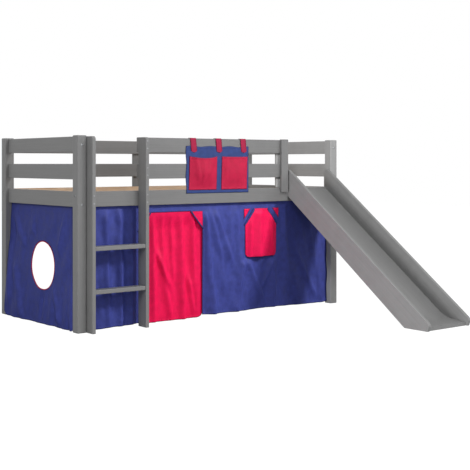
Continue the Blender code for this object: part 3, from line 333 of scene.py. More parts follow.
def screw(name, spot, outward):
    """A screw head lying in the wood's face: a rounded disc with a cross cut into it."""
    head = bmesh.new()
    bmesh.ops.create_circle(head, cap_ends=True, radius=SCREW_HEAD, segments=SCREW_SIDES)
    for turn in (0, math.pi / 2):
        for offset in (-CROSS_WIDTH / 2, CROSS_WIDTH / 2):
            side = Matrix.Rotation(turn, 3, "Z") @ Vector((0, 1, 0))
            bmesh.ops.bisect_plane(head, geom=head.verts[:] + head.edges[:] + head.faces[:],
                                   dist=1e-6, plane_co=side * offset, plane_no=side)
    for reach in (-CROSS_REACH, CROSS_REACH):
        for side in (Vector((1, 0, 0)), Vector((0, 1, 0))):
            bmesh.ops.bisect_plane(head, geom=head.verts[:] + head.edges[:] + head.faces[:],
                                   dist=1e-6, plane_co=side * reach, plane_no=side)
    cross = []
    for face in head.faces:
        middle = face.calc_center_median()
        near, far = sorted((abs(middle.x), abs(middle.y)))
        if near < CROSS_WIDTH / 2 and far < CROSS_REACH:
            cross.append(face)
    sunk = bmesh.ops.extrude_face_region(head, geom=cross)["geom"]
    bmesh.ops.delete(head, geom=cross, context="FACES_ONLY")
    bmesh.ops.translate(head, vec=(0, 0, -CROSS_DEPTH),
                        verts=[part for part in sunk if isinstance(part, bmesh.types.BMVert)])
    rim = [edge for edge in head.edges if edge.is_boundary]
    grown = bmesh.ops.extrude_edge_only(head, edges=rim)["geom"]
    bmesh.ops.translate(head, vec=(0, 0, -CROSS_DEPTH),
                        verts=[part for part in grown if isinstance(part, bmesh.types.BMVert)])
    bmesh.ops.holes_fill(head, edges=[edge for edge in head.edges if edge.is_boundary], sides=0)
    bmesh.ops.recalc_face_normals(head, faces=head.faces)
    turn = Vector((0, 0, 1)).rotation_difference(outward).to_matrix().to_4x4()
    place = Matrix.Translation(Vector(spot) + Vector(outward) * SCREW_PROUD)
    bmesh.ops.transform(head, matrix=place @ turn, verts=head.verts)
    new_piece(head, name, zinc)


screw_places = []
# through each stile and each board into the rails it crosses
rails = [[Vector(end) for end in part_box(name)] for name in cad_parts
         if name.startswith(("guard_rail_", "back_rail_")) or name == "front_side_rail"]
for board in [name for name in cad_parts
              if name.startswith("ladder_stile_") or name.endswith("_board")]:
    low, high = (Vector(end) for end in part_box(board))
    for rail_low, rail_high in rails:
        if max(low.y - rail_high.y, rail_low.y - high.y) > TOUCHING:
            continue
        if rail_high.z > high.z + RAIL_OVERHANG or rail_low.z < low.z - RAIL_OVERHANG:
            continue
        if rail_low.x > low.x or rail_high.x < high.x:
            continue
        outer = -1 if (low.y + high.y) < (rail_low.y + rail_high.y) else 1
        face = low.y if outer < 0 else high.y
        for level in (rail_low.z + RAIL_SCREW_INSET, rail_high.z - RAIL_SCREW_INSET):
            screw_places.append(((low.x + high.x) / 2, face, level, 0, outer))
# through the slide's sides into its battens; the right side's upper end lies against the post
for side, way, battens in (("left", -1, ("low", "top")), ("right", 1, ("low",))):
    low, high = (Vector(end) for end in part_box("slide_side_" + side))
    for batten in battens:
        batten_low, batten_high = (Vector(end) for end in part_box("slide_batten_" + batten))
        middle = (batten_low + batten_high) / 2
        screw_places.append((low.x if way < 0 else high.x, middle.y, middle.z, way, 0))
# through the ledgers into the side rails
for side, way in (("front", 1), ("back", -1)):
    low, high = (Vector(end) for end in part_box("slat_ledger_" + side))
    for share in LEDGER_SCREW_SHARES:
        screw_places.append((low.x + (high.x - low.x) * share, high.y if way > 0 else low.y,
                             low.z + LEDGER_SCREW_INSET, 0, way))
for number, (x, y, z, way_x, way_y) in enumerate(screw_places):
    screw("screw_" + str(number + 1), (x, y, z), Vector((way_x, way_y, 0)))

# Slatted base: planed pine slats with rounded edges, stapled to two webbing bands and rolled out
# on the stepped pine ledgers that are screwed along the side rails.
PINE_LIGHT = "#E2C8AC"
PINE_MIDDLE = "#D5B594"
PINE_DARK = "#BE966F"
PINE_KNOT = "#7D5233"
# growth rings are 3 mm apart; drawn 9 mm apart so that they show
RING_WIDTH = 0.009
RING_LENGTH = 0.45
# a knot's core and its rim, as shares of the knots' spacing
KNOT_SPACING = 0.42
KNOT_CORE, KNOT_RIM = 0.035, 0.075
PLANED_GLOSS = (0.52, 0.66)
PLANED_RIPPLE = 0.0003


def bare_pine(name, turn):
    """Planed softwood: pale early wood, darker late wood lines and now and then a knot."""
    made = bpy.data.materials.new("planed pine, grain " + name)
    made.use_nodes = True
    tree = made.node_tree
    shader = tree.nodes["Principled BSDF"]
    place = add(tree, "TexCoord", {}).outputs["Object"]
    grain = add(tree, "Mapping", {"vector_type": "TEXTURE", "Vector": place, "Rotation": turn,
                                  "Scale": (RING_LENGTH, RING_WIDTH, RING_WIDTH * 3)})
    drift = add(tree, "TexNoise", {"Vector": grain.outputs[0], "Scale": 0.6, "Detail": 2.0})
    bent = add(tree, "VectorMath", {"operation": "MULTIPLY_ADD", 0: drift.outputs["Color"],
                                    1: (0.0, 3.0, 2.0), 2: grain.outputs[0]})
    rings = add(tree, "TexWave", {"Vector": bent.outputs[0], "Scale": 0.31, "Distortion": 1.2,
                                  "Detail": 2.0, "bands_direction": "Y", "wave_profile": "SAW"})
    fibre = add(tree, "TexNoise", {"Vector": grain.outputs[0], "Scale": 7.0, "Detail": 3.0})
    spots = add(tree, "Mapping", {"vector_type": "TEXTURE", "Vector": place, "Rotation": turn,
                                  "Scale": (KNOT_SPACING, KNOT_SPACING / 3, KNOT_SPACING / 3)})
    knots = add(tree, "TexVoronoi", {"Vector": spots.outputs[0], "Scale": 1.0, "Randomness": 1.0})
    knot = add(tree, "MapRange", {"Value": knots.outputs["Distance"], "From Min": KNOT_CORE,
                                  "From Max": KNOT_RIM, "To Min": 1.0, "To Max": 0.0})
    figure = add(tree, "Mix", {"data_type": "FLOAT", 0: 0.30, 2: rings.outputs["Fac"],
                               3: fibre.outputs[0]})
    tone = add(tree, "ValToRGB", {"Fac": figure.outputs[0]})
    tone.color_ramp.elements[0].position = 0.18
    tone.color_ramp.elements[0].color = hex_colour(PINE_LIGHT)
    tone.color_ramp.elements[1].position = 0.95
    tone.color_ramp.elements[1].color = hex_colour(PINE_DARK)
    tone.color_ramp.elements.new(0.62).color = hex_colour(PINE_MIDDLE)
    wood = add(tree, "Mix", {"data_type": "RGBA", 0: knot.outputs[0], 6: tone.outputs[0],
                             7: hex_colour(PINE_KNOT)})
    dull = add(tree, "MapRange", {"Value": figure.outputs[0], "To Min": PLANED_GLOSS[0],
                                  "To Max": PLANED_GLOSS[1]})
    relief = add(tree, "Bump", {"Height": figure.outputs[0], "Strength": 0.4,
                                "Distance": PLANED_RIPPLE})
    tree.links.new(wood.outputs[2], shader.inputs["Base Color"])
    tree.links.new(dull.outputs[0], shader.inputs["Roughness"])
    tree.links.new(relief.outputs[0], shader.inputs["Normal"])
    return made


PINE_ALONG = bare_pine("along the bed", (0, 0, 0))
PINE_ACROSS = bare_pine("across the bed", (0, 0, math.pi / 2))
for node in ("slat_ledger_front", "slat_ledger_back"):
    coat(node, PINE_ALONG)

SLAT_COUNT = 14
SLAT_WIDTH = 0.070
SLAT_THICKNESS = 0.018
SLAT_ROUND = 0.0025
roll_low, roll_high = (Vector(end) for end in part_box("slat_roll"))
slat_pitch = (roll_high.x - roll_low.x - SLAT_WIDTH) / (SLAT_COUNT - 1)


def board_between(low, high, rounding, steps=2):
    """A squared board between two corners with its edges rounded."""
    board = bmesh.new()
    bmesh.ops.create_cube(board, size=1)
    bmesh.ops.scale(board, vec=Vector(high) - Vector(low), verts=board.verts)
    bmesh.ops.translate(board, vec=(Vector(high) + Vector(low)) / 2, verts=board.verts)
    bmesh.ops.bevel(board, geom=board.edges[:], offset=rounding, offset_type="OFFSET",
                    affect="EDGES", segments=steps, profile=0.5, material=-1, clamp_overlap=True)
    return board


for number in range(SLAT_COUNT):
    start = roll_low.x + number * slat_pitch
    slat = board_between((start, roll_low.y, roll_high.z - SLAT_THICKNESS),
                         (start + SLAT_WIDTH, roll_high.y, roll_high.z), SLAT_ROUND)
    piece = new_piece(slat, "slat_" + str(number + 1), PINE_ACROSS)
    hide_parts("slat_roll")

# Webbing: two bands of natural cotton under the slats, stapled to each slat. Coarse ribs of warm
# white, matt and slightly uneven; the slats hide them from above.
BAND_WIDTH = 0.030
BAND_THICKNESS = 0.0016
BAND_INSET = 0.180
# ribs are about 1 mm apart; drawn 3 mm apart so that they show
RIB_PITCH = 0.003
RIB_HEIGHT = 0.0006
# a wave texture of scale 1 repeats every 0.314 m
WAVE_LENGTH = 0.314

webbing = bpy.data.materials.new("natural cotton webbing")
webbing.use_nodes = True
tree = webbing.node_tree
shader = tree.nodes["Principled BSDF"]
shader.inputs["Roughness"].default_value = 0.9
place = add(tree, "TexCoord", {}).outputs["Object"]
ribs = add(tree, "TexWave", {"Vector": place, "Scale": WAVE_LENGTH / RIB_PITCH,
                             "bands_direction": "DIAGONAL"})
tone = add(tree, "ValToRGB", {"Fac": ribs.outputs["Fac"]})
tone.color_ramp.elements[0].color = hex_colour("#B9AE97")
tone.color_ramp.elements[1].color = hex_colour("#DDD3BE")
weave = add(tree, "Bump", {"Height": ribs.outputs["Fac"], "Strength": 0.6,
                           "Distance": RIB_HEIGHT})
tree.links.new(tone.outputs[0], shader.inputs["Base Color"])
tree.links.new(weave.outputs[0], shader.inputs["Normal"])
front_face, back_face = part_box("post_front_left")[0][1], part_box("post_back_left")[1][1]
for number, middle in enumerate((front_face + BAND_INSET, back_face - BAND_INSET)):
    band = board_between((roll_low.x + SLAT_ROUND, middle - BAND_WIDTH / 2, roll_low.z),
                         (roll_high.x - SLAT_ROUND, middle + BAND_WIDTH / 2,
                          roll_low.z + BAND_THICKNESS), BAND_THICKNESS / 3, 1)
    piece = new_piece(band, "slat_webbing_" + str(number + 1), webbing)
    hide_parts("slat_roll")

# Hook tapes: black nylon tape stapled behind the side rail and the end rail, whose stiff hooks
# hold the curtains' upper edges. It looks like a dense, dull, dark stubble.
HOOK_PITCH = 0.0015
HOOK_HEIGHT = 0.0006

hook = bpy.data.materials.new("black nylon hook tape")
hook.use_nodes = True
tree = hook.node_tree
shader = tree.nodes["Principled BSDF"]
shader.inputs["Roughness"].default_value = 0.7
place = add(tree, "TexCoord", {}).outputs["Object"]
pile = add(tree, "TexVoronoi", {"Vector": place, "Scale": 1 / HOOK_PITCH})
tone = add(tree, "ValToRGB", {"Fac": pile.outputs["Distance"]})
tone.color_ramp.elements[0].color = hex_colour("#3A3B42")
tone.color_ramp.elements[1].color = hex_colour("#17181C")
stubble = add(tree, "Bump", {"Height": pile.outputs["Distance"], "Strength": 0.8,
                             "Distance": HOOK_HEIGHT})
tree.links.new(tone.outputs[0], shader.inputs["Base Color"])
tree.links.new(stubble.outputs[0], shader.inputs["Normal"])
coat("front_hook_tape", hook)
coat("end_hook_tape", hook)


# Front curtain: one width of blue cotton sateen from the left post to the right, hung by its top
# edge from the hook tape, with a doorway and a window cut in it and a hem all round.
COTTON_GLOSS = (0.52, 0.68)
DYE_CLOUDS_PER_METRE = 30.0
# threads are 0.4 mm apart; drawn 1.6 mm apart so that they show
THREAD_PITCH = 0.0016
THREAD_HEIGHT = 0.0004
HEM_HEIGHT = 0.0010
# the hem is two layers thick and sewn down by a row of stitches 4 mm apart
STITCH_PITCH = 0.004
STITCH_INSET = 0.0020
STITCH_HALF = 0.0006
STITCH_HEIGHT = 0.0005
# painted shade: the outermost millimetres of each cut are darkened, for the shadow along its edges
EDGE_SHADE_WIDTH = 0.0030
SEAM_FADE = 0.0012


def cotton(name, colour, light, dark, edge_shade, sheen, hem=0.012):
    """Dyed cotton sateen: even colour, soft sheen across the folds, a fine weave, stitched hems."""
    made = bpy.data.materials.new(name)
    made.use_nodes = True
    tree = made.node_tree
    shader = tree.nodes["Principled BSDF"]
    shader.inputs["Sheen Weight"].default_value = sheen
    shader.inputs["Sheen Roughness"].default_value = 0.35
    shader.inputs["Sheen Tint"].default_value = hex_colour(light)
    shader.inputs["Specular IOR Level"].default_value = 0.16
    cut = add(tree, "UVMap", {"uv_map": "cut"}).outputs[0]
    warp = add(tree, "TexWave", {"Vector": cut, "Scale": WAVE_LENGTH / THREAD_PITCH,
                                 "bands_direction": "X"})
    weft = add(tree, "TexWave", {"Vector": cut, "Scale": WAVE_LENGTH / THREAD_PITCH,
                                 "bands_direction": "Y"})
    threads = add(tree, "Math", {"operation": "MULTIPLY", 0: warp.outputs["Fac"],
                                 1: weft.outputs["Fac"]})
    place = add(tree, "TexCoord", {}).outputs["Object"]
    slub = add(tree, "TexNoise", {"Vector": place, "Scale": DYE_CLOUDS_PER_METRE, "Detail": 3.0})
    mottled = add(tree, "Mix", {"data_type": "FLOAT", 0: 0.7, 2: threads.outputs[0],
                                3: slub.outputs[0]})
    tone = add(tree, "ValToRGB", {"Fac": mottled.outputs[0]})
    tone.color_ramp.elements[0].position = 0.20
    tone.color_ramp.elements[0].color = hex_colour(dark)
    tone.color_ramp.elements[1].position = 0.75
    tone.color_ramp.elements[1].color = hex_colour(light)
    tone.color_ramp.elements.new(0.48).color = hex_colour(colour)
    edge = add(tree, "Attribute", {"attribute_name": "from_edge"}).outputs["Fac"]
    doubled = add(tree, "MapRange", {"Value": edge, "From Min": hem, "From Max": hem + SEAM_FADE,
                                     "To Min": 1.0, "To Max": 0.0})
    row = add(tree, "Math", {"operation": "COMPARE", 0: edge, 1: hem - STITCH_INSET,
                             2: STITCH_HALF})
    corner = add(tree, "SeparateXYZ", {"Vector": cut})
    run = add(tree, "Math", {"operation": "ADD", 0: corner.outputs["X"], 1: corner.outputs["Y"]})
    pace = add(tree, "Math", {"operation": "PINGPONG", 0: run.outputs[0],
                              1: STITCH_PITCH / 2})
    gap = add(tree, "Math", {"operation": "GREATER_THAN", 0: pace.outputs[0],
                             1: STITCH_HALF})
    stitch = add(tree, "Math", {"operation": "MULTIPLY", 0: row.outputs[0], 1: gap.outputs[0]})
    sewn = add(tree, "Mix", {"data_type": "RGBA", 0: stitch.outputs[0], 6: tone.outputs[0],
                             7: hex_colour(light)})
    # painted shade: a dark rim along every edge of the cut, standing in for the shadow there
    edge_shade_mask = add(tree, "MapRange", {"Value": edge, "From Min": EDGE_SHADE_WIDTH,
                                   "From Max": EDGE_SHADE_WIDTH + SEAM_FADE,
                                   "To Min": 1.0, "To Max": 0.0})
    edge_shaded = add(tree, "Mix", {"data_type": "RGBA", 0: edge_shade_mask.outputs[0], 6: sewn.outputs[2],
                                 7: hex_colour(edge_shade)})
    rough = add(tree, "MapRange", {"Value": slub.outputs[0], "From Min": 0.3, "From Max": 0.7,
                                   "To Min": COTTON_GLOSS[0], "To Max": COTTON_GLOSS[1]})
    weave = add(tree, "Bump", {"Height": threads.outputs[0], "Strength": 0.25,
                               "Distance": THREAD_HEIGHT})
    layer = add(tree, "Bump", {"Height": doubled.outputs[0], "Strength": 0.8,
                               "Distance": HEM_HEIGHT, "Normal": weave.outputs[0]})
    thread = add(tree, "Bump", {"Height": stitch.outputs[0], "Strength": 0.8,
                                "Distance": STITCH_HEIGHT, "Normal": layer.outputs[0]})
    tree.links.new(edge_shaded.outputs[2], shader.inputs["Base Color"])
    tree.links.new(rough.outputs[0], shader.inputs["Roughness"])
    tree.links.new(thread.outputs[0], shader.inputs["Normal"])
    return made


# the fourth colour is the painted shade along the edges of each cut
BLUE = cotton("blue cotton sateen", "#353D80", "#3D458E", "#2E3570", "#262B5E", 0.35)

bed_corner = Vector(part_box("post_front_left")[0])
# how thick the cloth is drawn, and how far behind the posts' front faces it hangs
CLOTH = 0.0016
CURTAIN_PLANE = 0.0434
CURTAIN_TOP = 0.755
CURTAIN_START, CURTAIN_END = 0.061, 2.005
HEM_ALONG = (0.061, 0.147, 0.243, 0.361, 0.436, 0.921, 1.024, 1.230, 1.487, 1.666, 1.955, 2.005)
HEM_LEVEL = (0.005, 0.003, 0.007, 0.007, 0.013, 0.020, 0.015, 0.014, 0.019, 0.014, 0.008, 0.016)
DOOR_LEFT, DOOR_RIGHT, DOOR_TOP = 0.443, 0.921, 0.675
DOOR_CORNER = (0.092, 0.112)
DOOR_LAP = 0.016
# the flap's outline, and how far inside it the window is cut
WINDOW_LEFT, WINDOW_RIGHT, WINDOW_TOP, WINDOW_FOOT = 1.274, 1.547, 0.681, 0.362
WINDOW_INSET = 0.030
WINDOW_CORNER = (0.063, 0.083)
PATCH_OUT = 0.013
# the hook tape holds the cloth flat; seams and the patches beside the flap hold it smooth
HEADING, FOLDED_BY, GATHERED_BY = 0.025, 0.12, 0.747
SEAM_REACH = 0.050
TAUT_AT_DOOR = 0.25
GATHERS, GATHER_PITCH = 0.0040, 0.262
RIPPLE_SHARE, RIPPLE_PITCH = 0.35, 0.117
# creases: how wide and high they are, how deep, and the seed of their pattern
CURTAIN_CREASES = ((0.055, 0.18), 0.0080, 2.0)
CURTAIN_WRINKLES = ((0.024, 0.08), 0.0030, 7.0)
CREASED_AT_SEAMS = 0.25
FOLD_FADE = 0.045
OVERRUN = 0.01
SQUARE = 0.012


def flat_cloth(start, end, foot, head, square):
    """A flat cut of cloth, upright along the bed, in small squares."""
    cut = bmesh.new()
    columns, rows = round((end - start) / square), round((head - foot) / square)
    bmesh.ops.create_grid(cut, x_segments=columns, y_segments=rows, size=0.5)
    bmesh.ops.rotate(cut, matrix=Matrix.Rotation(math.pi / 2, 3, "X"), verts=cut.verts)
    bmesh.ops.scale(cut, vec=(end - start, 1, head - foot), verts=cut.verts)
    bmesh.ops.translate(cut, vec=((start + end) / 2, 0, (foot + head) / 2), verts=cut.verts)
    return cut


def opening(left, right, foot, head, corner):
    """The outline of an opening whose upper corners are cut aslant."""
    return [(left, foot), (right, foot), (right, head - corner[1]), (right - corner[0], head),
            (left + corner[0], head), (left, head - corner[1])]


def cut_out(cut, outline):
    """Takes a shape with straight sides, given anticlockwise, out of a flat cut of cloth."""
    corners = [Vector((along, 0, level)) for along, level in outline]
    lowest = Vector((min(c.x for c in corners), 0, min(c.z for c in corners)))
    highest = Vector((max(c.x for c in corners), 0, max(c.z for c in corners)))
    # only the squares near the shape are cut
    margin = Vector((SQUARE, 1, SQUARE)) * 1.5
    sides = []
    for here, there in zip(corners, corners[1:] + corners[:1]):
        out = (there - here).cross(Vector((0, -1, 0))).normalized()
        sides.append((here, out))
    for here, out in sides:
        near = [face for face in cut.faces
                if all(lowest[axis] - margin[axis] < face.calc_center_median()[axis]
                       < highest[axis] + margin[axis] for axis in (0, 2))]
        parts = set(near)
        for face in near:
            parts.update(face.edges)
            parts.update(face.verts)
        bmesh.ops.bisect_plane(cut, geom=list(parts), dist=1e-5, plane_co=here, plane_no=out)
    inside = [face for face in cut.faces
              if all((face.calc_center_median() - here).dot(out) < 0 for here, out in sides)]
    bmesh.ops.delete(cut, geom=inside, context="FACES")


def ease(value, low, high):
    """Rises softly from 0 at `low` to 1 at `high`."""
    share = np.clip((value - low) / (high - low), 0, 1)
    return share * share * (3 - 2 * share)


def fold(along, level, start, end, widths, depth):
    """How far a fold between two points of the cloth stands out; it dies away past its ends.
    `widths` are its two flanks, the first on the left of its way."""
    run = (end[0] - start[0], end[1] - start[1])
    length = math.hypot(*run)
    reach = ((along - start[0]) * run[0] + (level - start[1]) * run[1]) / length
    aside = ((along - start[0]) * run[1] - (level - start[1]) * run[0]) / length
    flank = np.where(aside < 0, widths[0], widths[1])
    past = np.maximum(0, np.maximum(-reach, reach - length))
    return depth * np.exp(-(aside / flank) ** 2 - (past / FOLD_FADE) ** 2)


def with_folds(out, along, level, folds, share=1):
    """Adds a piece's folds to how far its cloth stands out; `share` makes them less deep."""
    for start, end, widths, depth in folds:
        out = out + fold(along, level, start, end, widths, depth) * share
    return out


def crumple(along, level, sizes, depth, seed):
    """Soft irregular unevenness of cloth that has been folded and hung again."""
    across, down = along / sizes[0], level / sizes[1]
    # the creases lean to the left on their way up
    spots = zip(across + down * 0.4, down - across * 0.1)
    return depth * np.array([noise.noise(Vector((first, second, seed))) for first, second in spots])


def hang(cut, name, spot, surface, body="bed", thickness=CLOTH, smooth=1):
    """Hangs a flat cut: keeps it as UV map, moves each point to its spot, thickens the cloth.
    Each point also keeps how far it lies from the cut's edge, where hem, stitches and painted edge
    shade are."""
    weave = cut.loops.layers.uv.new("cut")
    for face in cut.faces:
        for loop in face.loops:
            loop[weave].uv = (loop.vert.co.x, loop.vert.co.z)
    along = np.array([vertex.co.x for vertex in cut.verts])
    level = np.array([vertex.co.z for vertex in cut.verts])
    nearest = np.full(len(along), np.inf)
    for edge in cut.edges:
        if edge.is_boundary:
            start, end = edge.verts[0].co, edge.verts[1].co
            run = end - start
            share = ((along - start.x) * run.x + (level - start.z) * run.z) / run.length_squared
            share = np.clip(share, 0, 1)
            nearest = np.minimum(nearest, np.hypot(start.x + share * run.x - along,
                                                   start.z + share * run.z - level))
    from_edge = cut.verts.layers.float.new("from_edge")
    for vertex, distance in zip(cut.verts, nearest):
        vertex[from_edge] = distance
    places = np.column_stack(np.broadcast_arrays(*spot(along, level)))
    for vertex, place in zip(cut.verts, places):
        vertex.co = Vector(place) + bed_corner
    bmesh.ops.recalc_face_normals(cut, faces=cut.faces)
    piece = new_piece(cut, name, surface, body)
    lit_alone["end cloth" if name == "end_curtain_cloth" else "cloth"].objects.link(piece)
    lit_alone["all but cloth"].objects.link(piece)
    # in this list a piece counts as left out
    for entry in lit_alone["all but cloth"].collection_objects:
        entry.light_linking.link_state = "EXCLUDE"
    if smooth:
        soft = piece.modifiers.new("soft", "SUBSURF")
        soft.levels = soft.render_levels = smooth
        soft.boundary_smooth = "PRESERVE_CORNERS"
    wall = piece.modifiers.new("cloth", "SOLIDIFY")
    wall.thickness = thickness
    wall.offset = 0
    return piece


CURTAIN_FOLDS = (
    # a broad light fold beside the doorway, then the streaks that run down from the valance
    ((0.950, 0.620), (1.016, 0.040), (0.011, 0.050), 0.0260),
    ((0.985, 0.660), (1.062, 0.430), (0.011, 0.026), 0.0150),
    ((1.040, 0.640), (1.150, 0.380), (0.012, 0.028), 0.0150),
    ((1.160, 0.580), (1.110, 0.200), (0.018, 0.030), 0.0090),
    ((1.200, 0.660), (1.225, 0.400), (0.012, 0.020), 0.0080),
    # the folds that fan out under the window
    ((1.262, 0.345), (1.205, 0.040), (0.014, 0.040), 0.0230),
    ((1.296, 0.335), (1.410, 0.110), (0.012, 0.024), 0.0170),
    ((1.400, 0.330), (1.395, 0.220), (0.016, 0.018), 0.0070),
    ((1.500, 0.330), (1.436, 0.190), (0.010, 0.018), 0.0130),
    ((1.524, 0.340), (1.514, 0.040), (0.012, 0.036), 0.0200),
    # under the slide
    ((1.600, 0.600), (1.655, 0.220), (0.018, 0.034), 0.0120),
    ((1.730, 0.360), (1.875, 0.110), (0.014, 0.026), 0.0150),
    ((1.850, 0.520), (1.905, 0.250), (0.022, 0.028), 0.0090),
    # between the ladder's stiles and beside the left post
    ((0.108, 0.640), (0.100, 0.060), (0.014, 0.020), 0.0120),
    ((0.215, 0.700), (0.235, 0.040), (0.013, 0.020), 0.0160),
    ((0.308, 0.690), (0.322, 0.040), (0.012, 0.022), 0.0190),
    ((0.398, 0.690), (0.392, 0.040), (0.014, 0.018), 0.0150),
)


def curtain_depth(along, level):
    """How far the curtain stands out to the front at a point of its cut."""
    drop = CURTAIN_TOP - level
    wave = np.sin(2 * np.pi * along / GATHER_PITCH)
    wave = wave + RIPPLE_SHARE * np.sin(2 * np.pi * along / RIPPLE_PITCH)
    beside_window = np.maximum(WINDOW_LEFT - along, along - WINDOW_RIGHT)
    near_window = 1 - ease(beside_window, PATCH_OUT, PATCH_OUT + SEAM_REACH)
    near_window = near_window * ease(level, WINDOW_FOOT - SEAM_REACH, WINDOW_FOOT)
    beside_door = np.maximum(DOOR_LEFT - along, along - DOOR_RIGHT)
    near_door = 1 - ease(beside_door, DOOR_LAP, DOOR_LAP + SEAM_REACH)
    free = 1 - np.maximum(near_window, near_door)
    out = -GATHERS * ease(drop, HEADING, GATHERED_BY) * wave * free
    loose = TAUT_AT_DOOR + (1 - TAUT_AT_DOOR) * ease(beside_door, 0.0, 2 * DOOR_LAP)
    loose = ease(drop, HEADING, FOLDED_BY) * loose
    out = with_folds(out, along, level, CURTAIN_FOLDS, loose)
    uneven = crumple(along, level, *CURTAIN_CREASES) + crumple(along, level, *CURTAIN_WRINKLES)
    creased = np.clip(free + CREASED_AT_SEAMS, 0, 1)
    return out * (1 - near_window) + uneven * loose * creased


def curtain_spot(along, level):
    """Where a point of the front curtain's cut hangs; its hem is a little higher to the right."""
    hem = np.interp(along, HEM_ALONG, HEM_LEVEL)
    lifted = hem + (CURTAIN_TOP - hem) * level / CURTAIN_TOP
    return along, CURTAIN_PLANE - curtain_depth(along, lifted), lifted


front_cut = flat_cloth(CURTAIN_START, CURTAIN_END, 0, CURTAIN_TOP, SQUARE)
cut_out(front_cut, opening(DOOR_LEFT, DOOR_RIGHT, -OVERRUN, DOOR_TOP, DOOR_CORNER))
cut_out(front_cut, opening(WINDOW_LEFT + WINDOW_INSET, WINDOW_RIGHT - WINDOW_INSET,
                           WINDOW_FOOT + WINDOW_INSET, WINDOW_TOP - WINDOW_INSET, WINDOW_CORNER))
front = hang(front_cut, "front_curtain_cloth", curtain_spot, BLUE)
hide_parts("front_curtain")

# Door curtain: a loose panel of red cotton sateen, sewn by its top edge behind the doorway and
# wider than it on both sides. Its lower corners are rounded; deep folds run down from the seam.
RED = cotton("red cotton sateen", "#D60648", "#E00E50", "#C40440", "#7E0A3C", 0.04)
DOOR_HEAD = 0.687
DOOR_SEAM, DOOR_HUNG_BY = 0.012, 0.112
DOOR_HEM_ALONG = (0.443, 0.534, 0.720, 0.890, 0.937)
DOOR_HEM_LEVEL = (0.004, 0.002, 0.001, 0.003, 0.005)
DOOR_ROUND = 0.050
DOOR_PLANE = 0.0453
# below its seam the panel hangs back from that plane, less so on the right
DOOR_HANG_BACK, DOOR_LESS_BACK, DOOR_LESS_FROM, DOOR_LESS_BY = 0.025, 0.019, 0.80, 0.93
DOOR_LEAST_BACK, DOOR_DENT_MOST = 0.0015, 0.008
DOOR_WAVE, DOOR_WAVE_AT_SEAM, DOOR_WAVE_PITCH = 0.0025, 0.33, 0.139
DOOR_CREASES = ((0.05, 0.14), 0.004, 4.0)
# small gathers where the panel is sewn on, which grow between two levels
DOOR_GATHERS = ((0.016, 0.07), 0.004, 5.0)
GATHERS_FROM, GATHERS_BY = 0.45, 0.66
DOOR_CALM = 0.045
DOOR_SQUARE = 0.010
DOOR_FOLDS = (
    ((0.560, 0.660), (0.572, 0.030), (0.012, 0.022), 0.0200),
    ((0.628, 0.640), (0.640, 0.400), (0.010, 0.020), 0.0150),
    ((0.596, 0.410), (0.672, 0.240), (0.020, 0.012), 0.0170),
    ((0.640, 0.300), (0.690, 0.060), (0.014, 0.024), 0.0130),
    ((0.690, 0.650), (0.706, 0.300), (0.018, 0.010), 0.0110),
    # the deep fold in the middle, its shaded side to the left
    ((0.772, 0.665), (0.794, 0.020), (0.010, 0.040), 0.0270),
    ((0.862, 0.600), (0.868, 0.230), (0.012, 0.020), 0.0130),
    ((0.836, 0.215), (0.862, 0.075), (0.010, 0.014), 0.0130),
    ((0.900, 0.300), (0.892, 0.060), (0.010, 0.014), 0.0080),
)


def rounded_hem(aside, radius):
    """How far the hem rises at a rounded corner, by the distance from the side."""
    inner = np.clip(radius - aside, 0, radius)
    return radius - np.sqrt(np.maximum(0, radius * radius - inner * inner))


def door_spot(along, level):
    """Where a point of the door curtain's cut hangs."""
    start, end = DOOR_LEFT - DOOR_LAP, DOOR_RIGHT + DOOR_LAP
    side = np.minimum(along - start, end - along)
    low = np.interp(along, DOOR_HEM_ALONG, DOOR_HEM_LEVEL) + rounded_hem(side, DOOR_ROUND)
    level = low + (DOOR_HEAD - low) * level / DOOR_HEAD
    below = ease(DOOR_HEAD - level, DOOR_SEAM, DOOR_HUNG_BY)
    wave = np.sin(2 * np.pi * (along - DOOR_LEFT) / DOOR_WAVE_PITCH)
    grown = ease(DOOR_HEAD - level, DOOR_SEAM, DOOR_TOP)
    free = ease(side, DOOR_LAP, DOOR_LAP + DOOR_CALM)
    depth = DOOR_HANG_BACK - DOOR_LESS_BACK * ease(along, DOOR_LESS_FROM, DOOR_LESS_BY)
    grown = DOOR_WAVE_AT_SEAM + (1 - DOOR_WAVE_AT_SEAM) * grown
    depth = depth + DOOR_WAVE * grown * wave * free
    out = crumple(along, level, *DOOR_CREASES) * free
    gathers = crumple(along, level, *DOOR_GATHERS) * free
    out = out + gathers * ease(level, GATHERS_FROM, GATHERS_BY)
    out = with_folds(out, along, level, DOOR_FOLDS, free)
    out = np.clip(out, -DOOR_DENT_MOST, depth - DOOR_LEAST_BACK)
    return along, DOOR_PLANE + (depth - out) * below, level


door = hang(flat_cloth(DOOR_LEFT - DOOR_LAP, DOOR_RIGHT + DOOR_LAP, 0, DOOR_HEAD, DOOR_SQUARE),
            "door_curtain_cloth", door_spot, RED, "door")
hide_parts("door_curtain")

# Corner trims: a red triangle of cloth sewn over each upper corner of the doorway, with a navy
# blue woven ribbon along its slanting edge, a little darker than the curtain. That darkness is
# partly the ribbon's own colour and partly painted shade, for the shadow in the gap along the
# slant.
# painted shade: these ribbons are darker than the flap's, for the shadow along the doorway's slant
SHADED_NAVY = cotton("navy ribbon, darkened for painted shade", "#26285A", "#2E3066", "#1E204C", "#26285A", 0.1, hem=0.002)
RIBBON_WIDTH = 0.008
TRIM_LAP = 0.0015
LEFT_TRIM_INSET = 0.004
# how clear of each other cloths lie that are sewn together
LAID_GAP = 0.0002


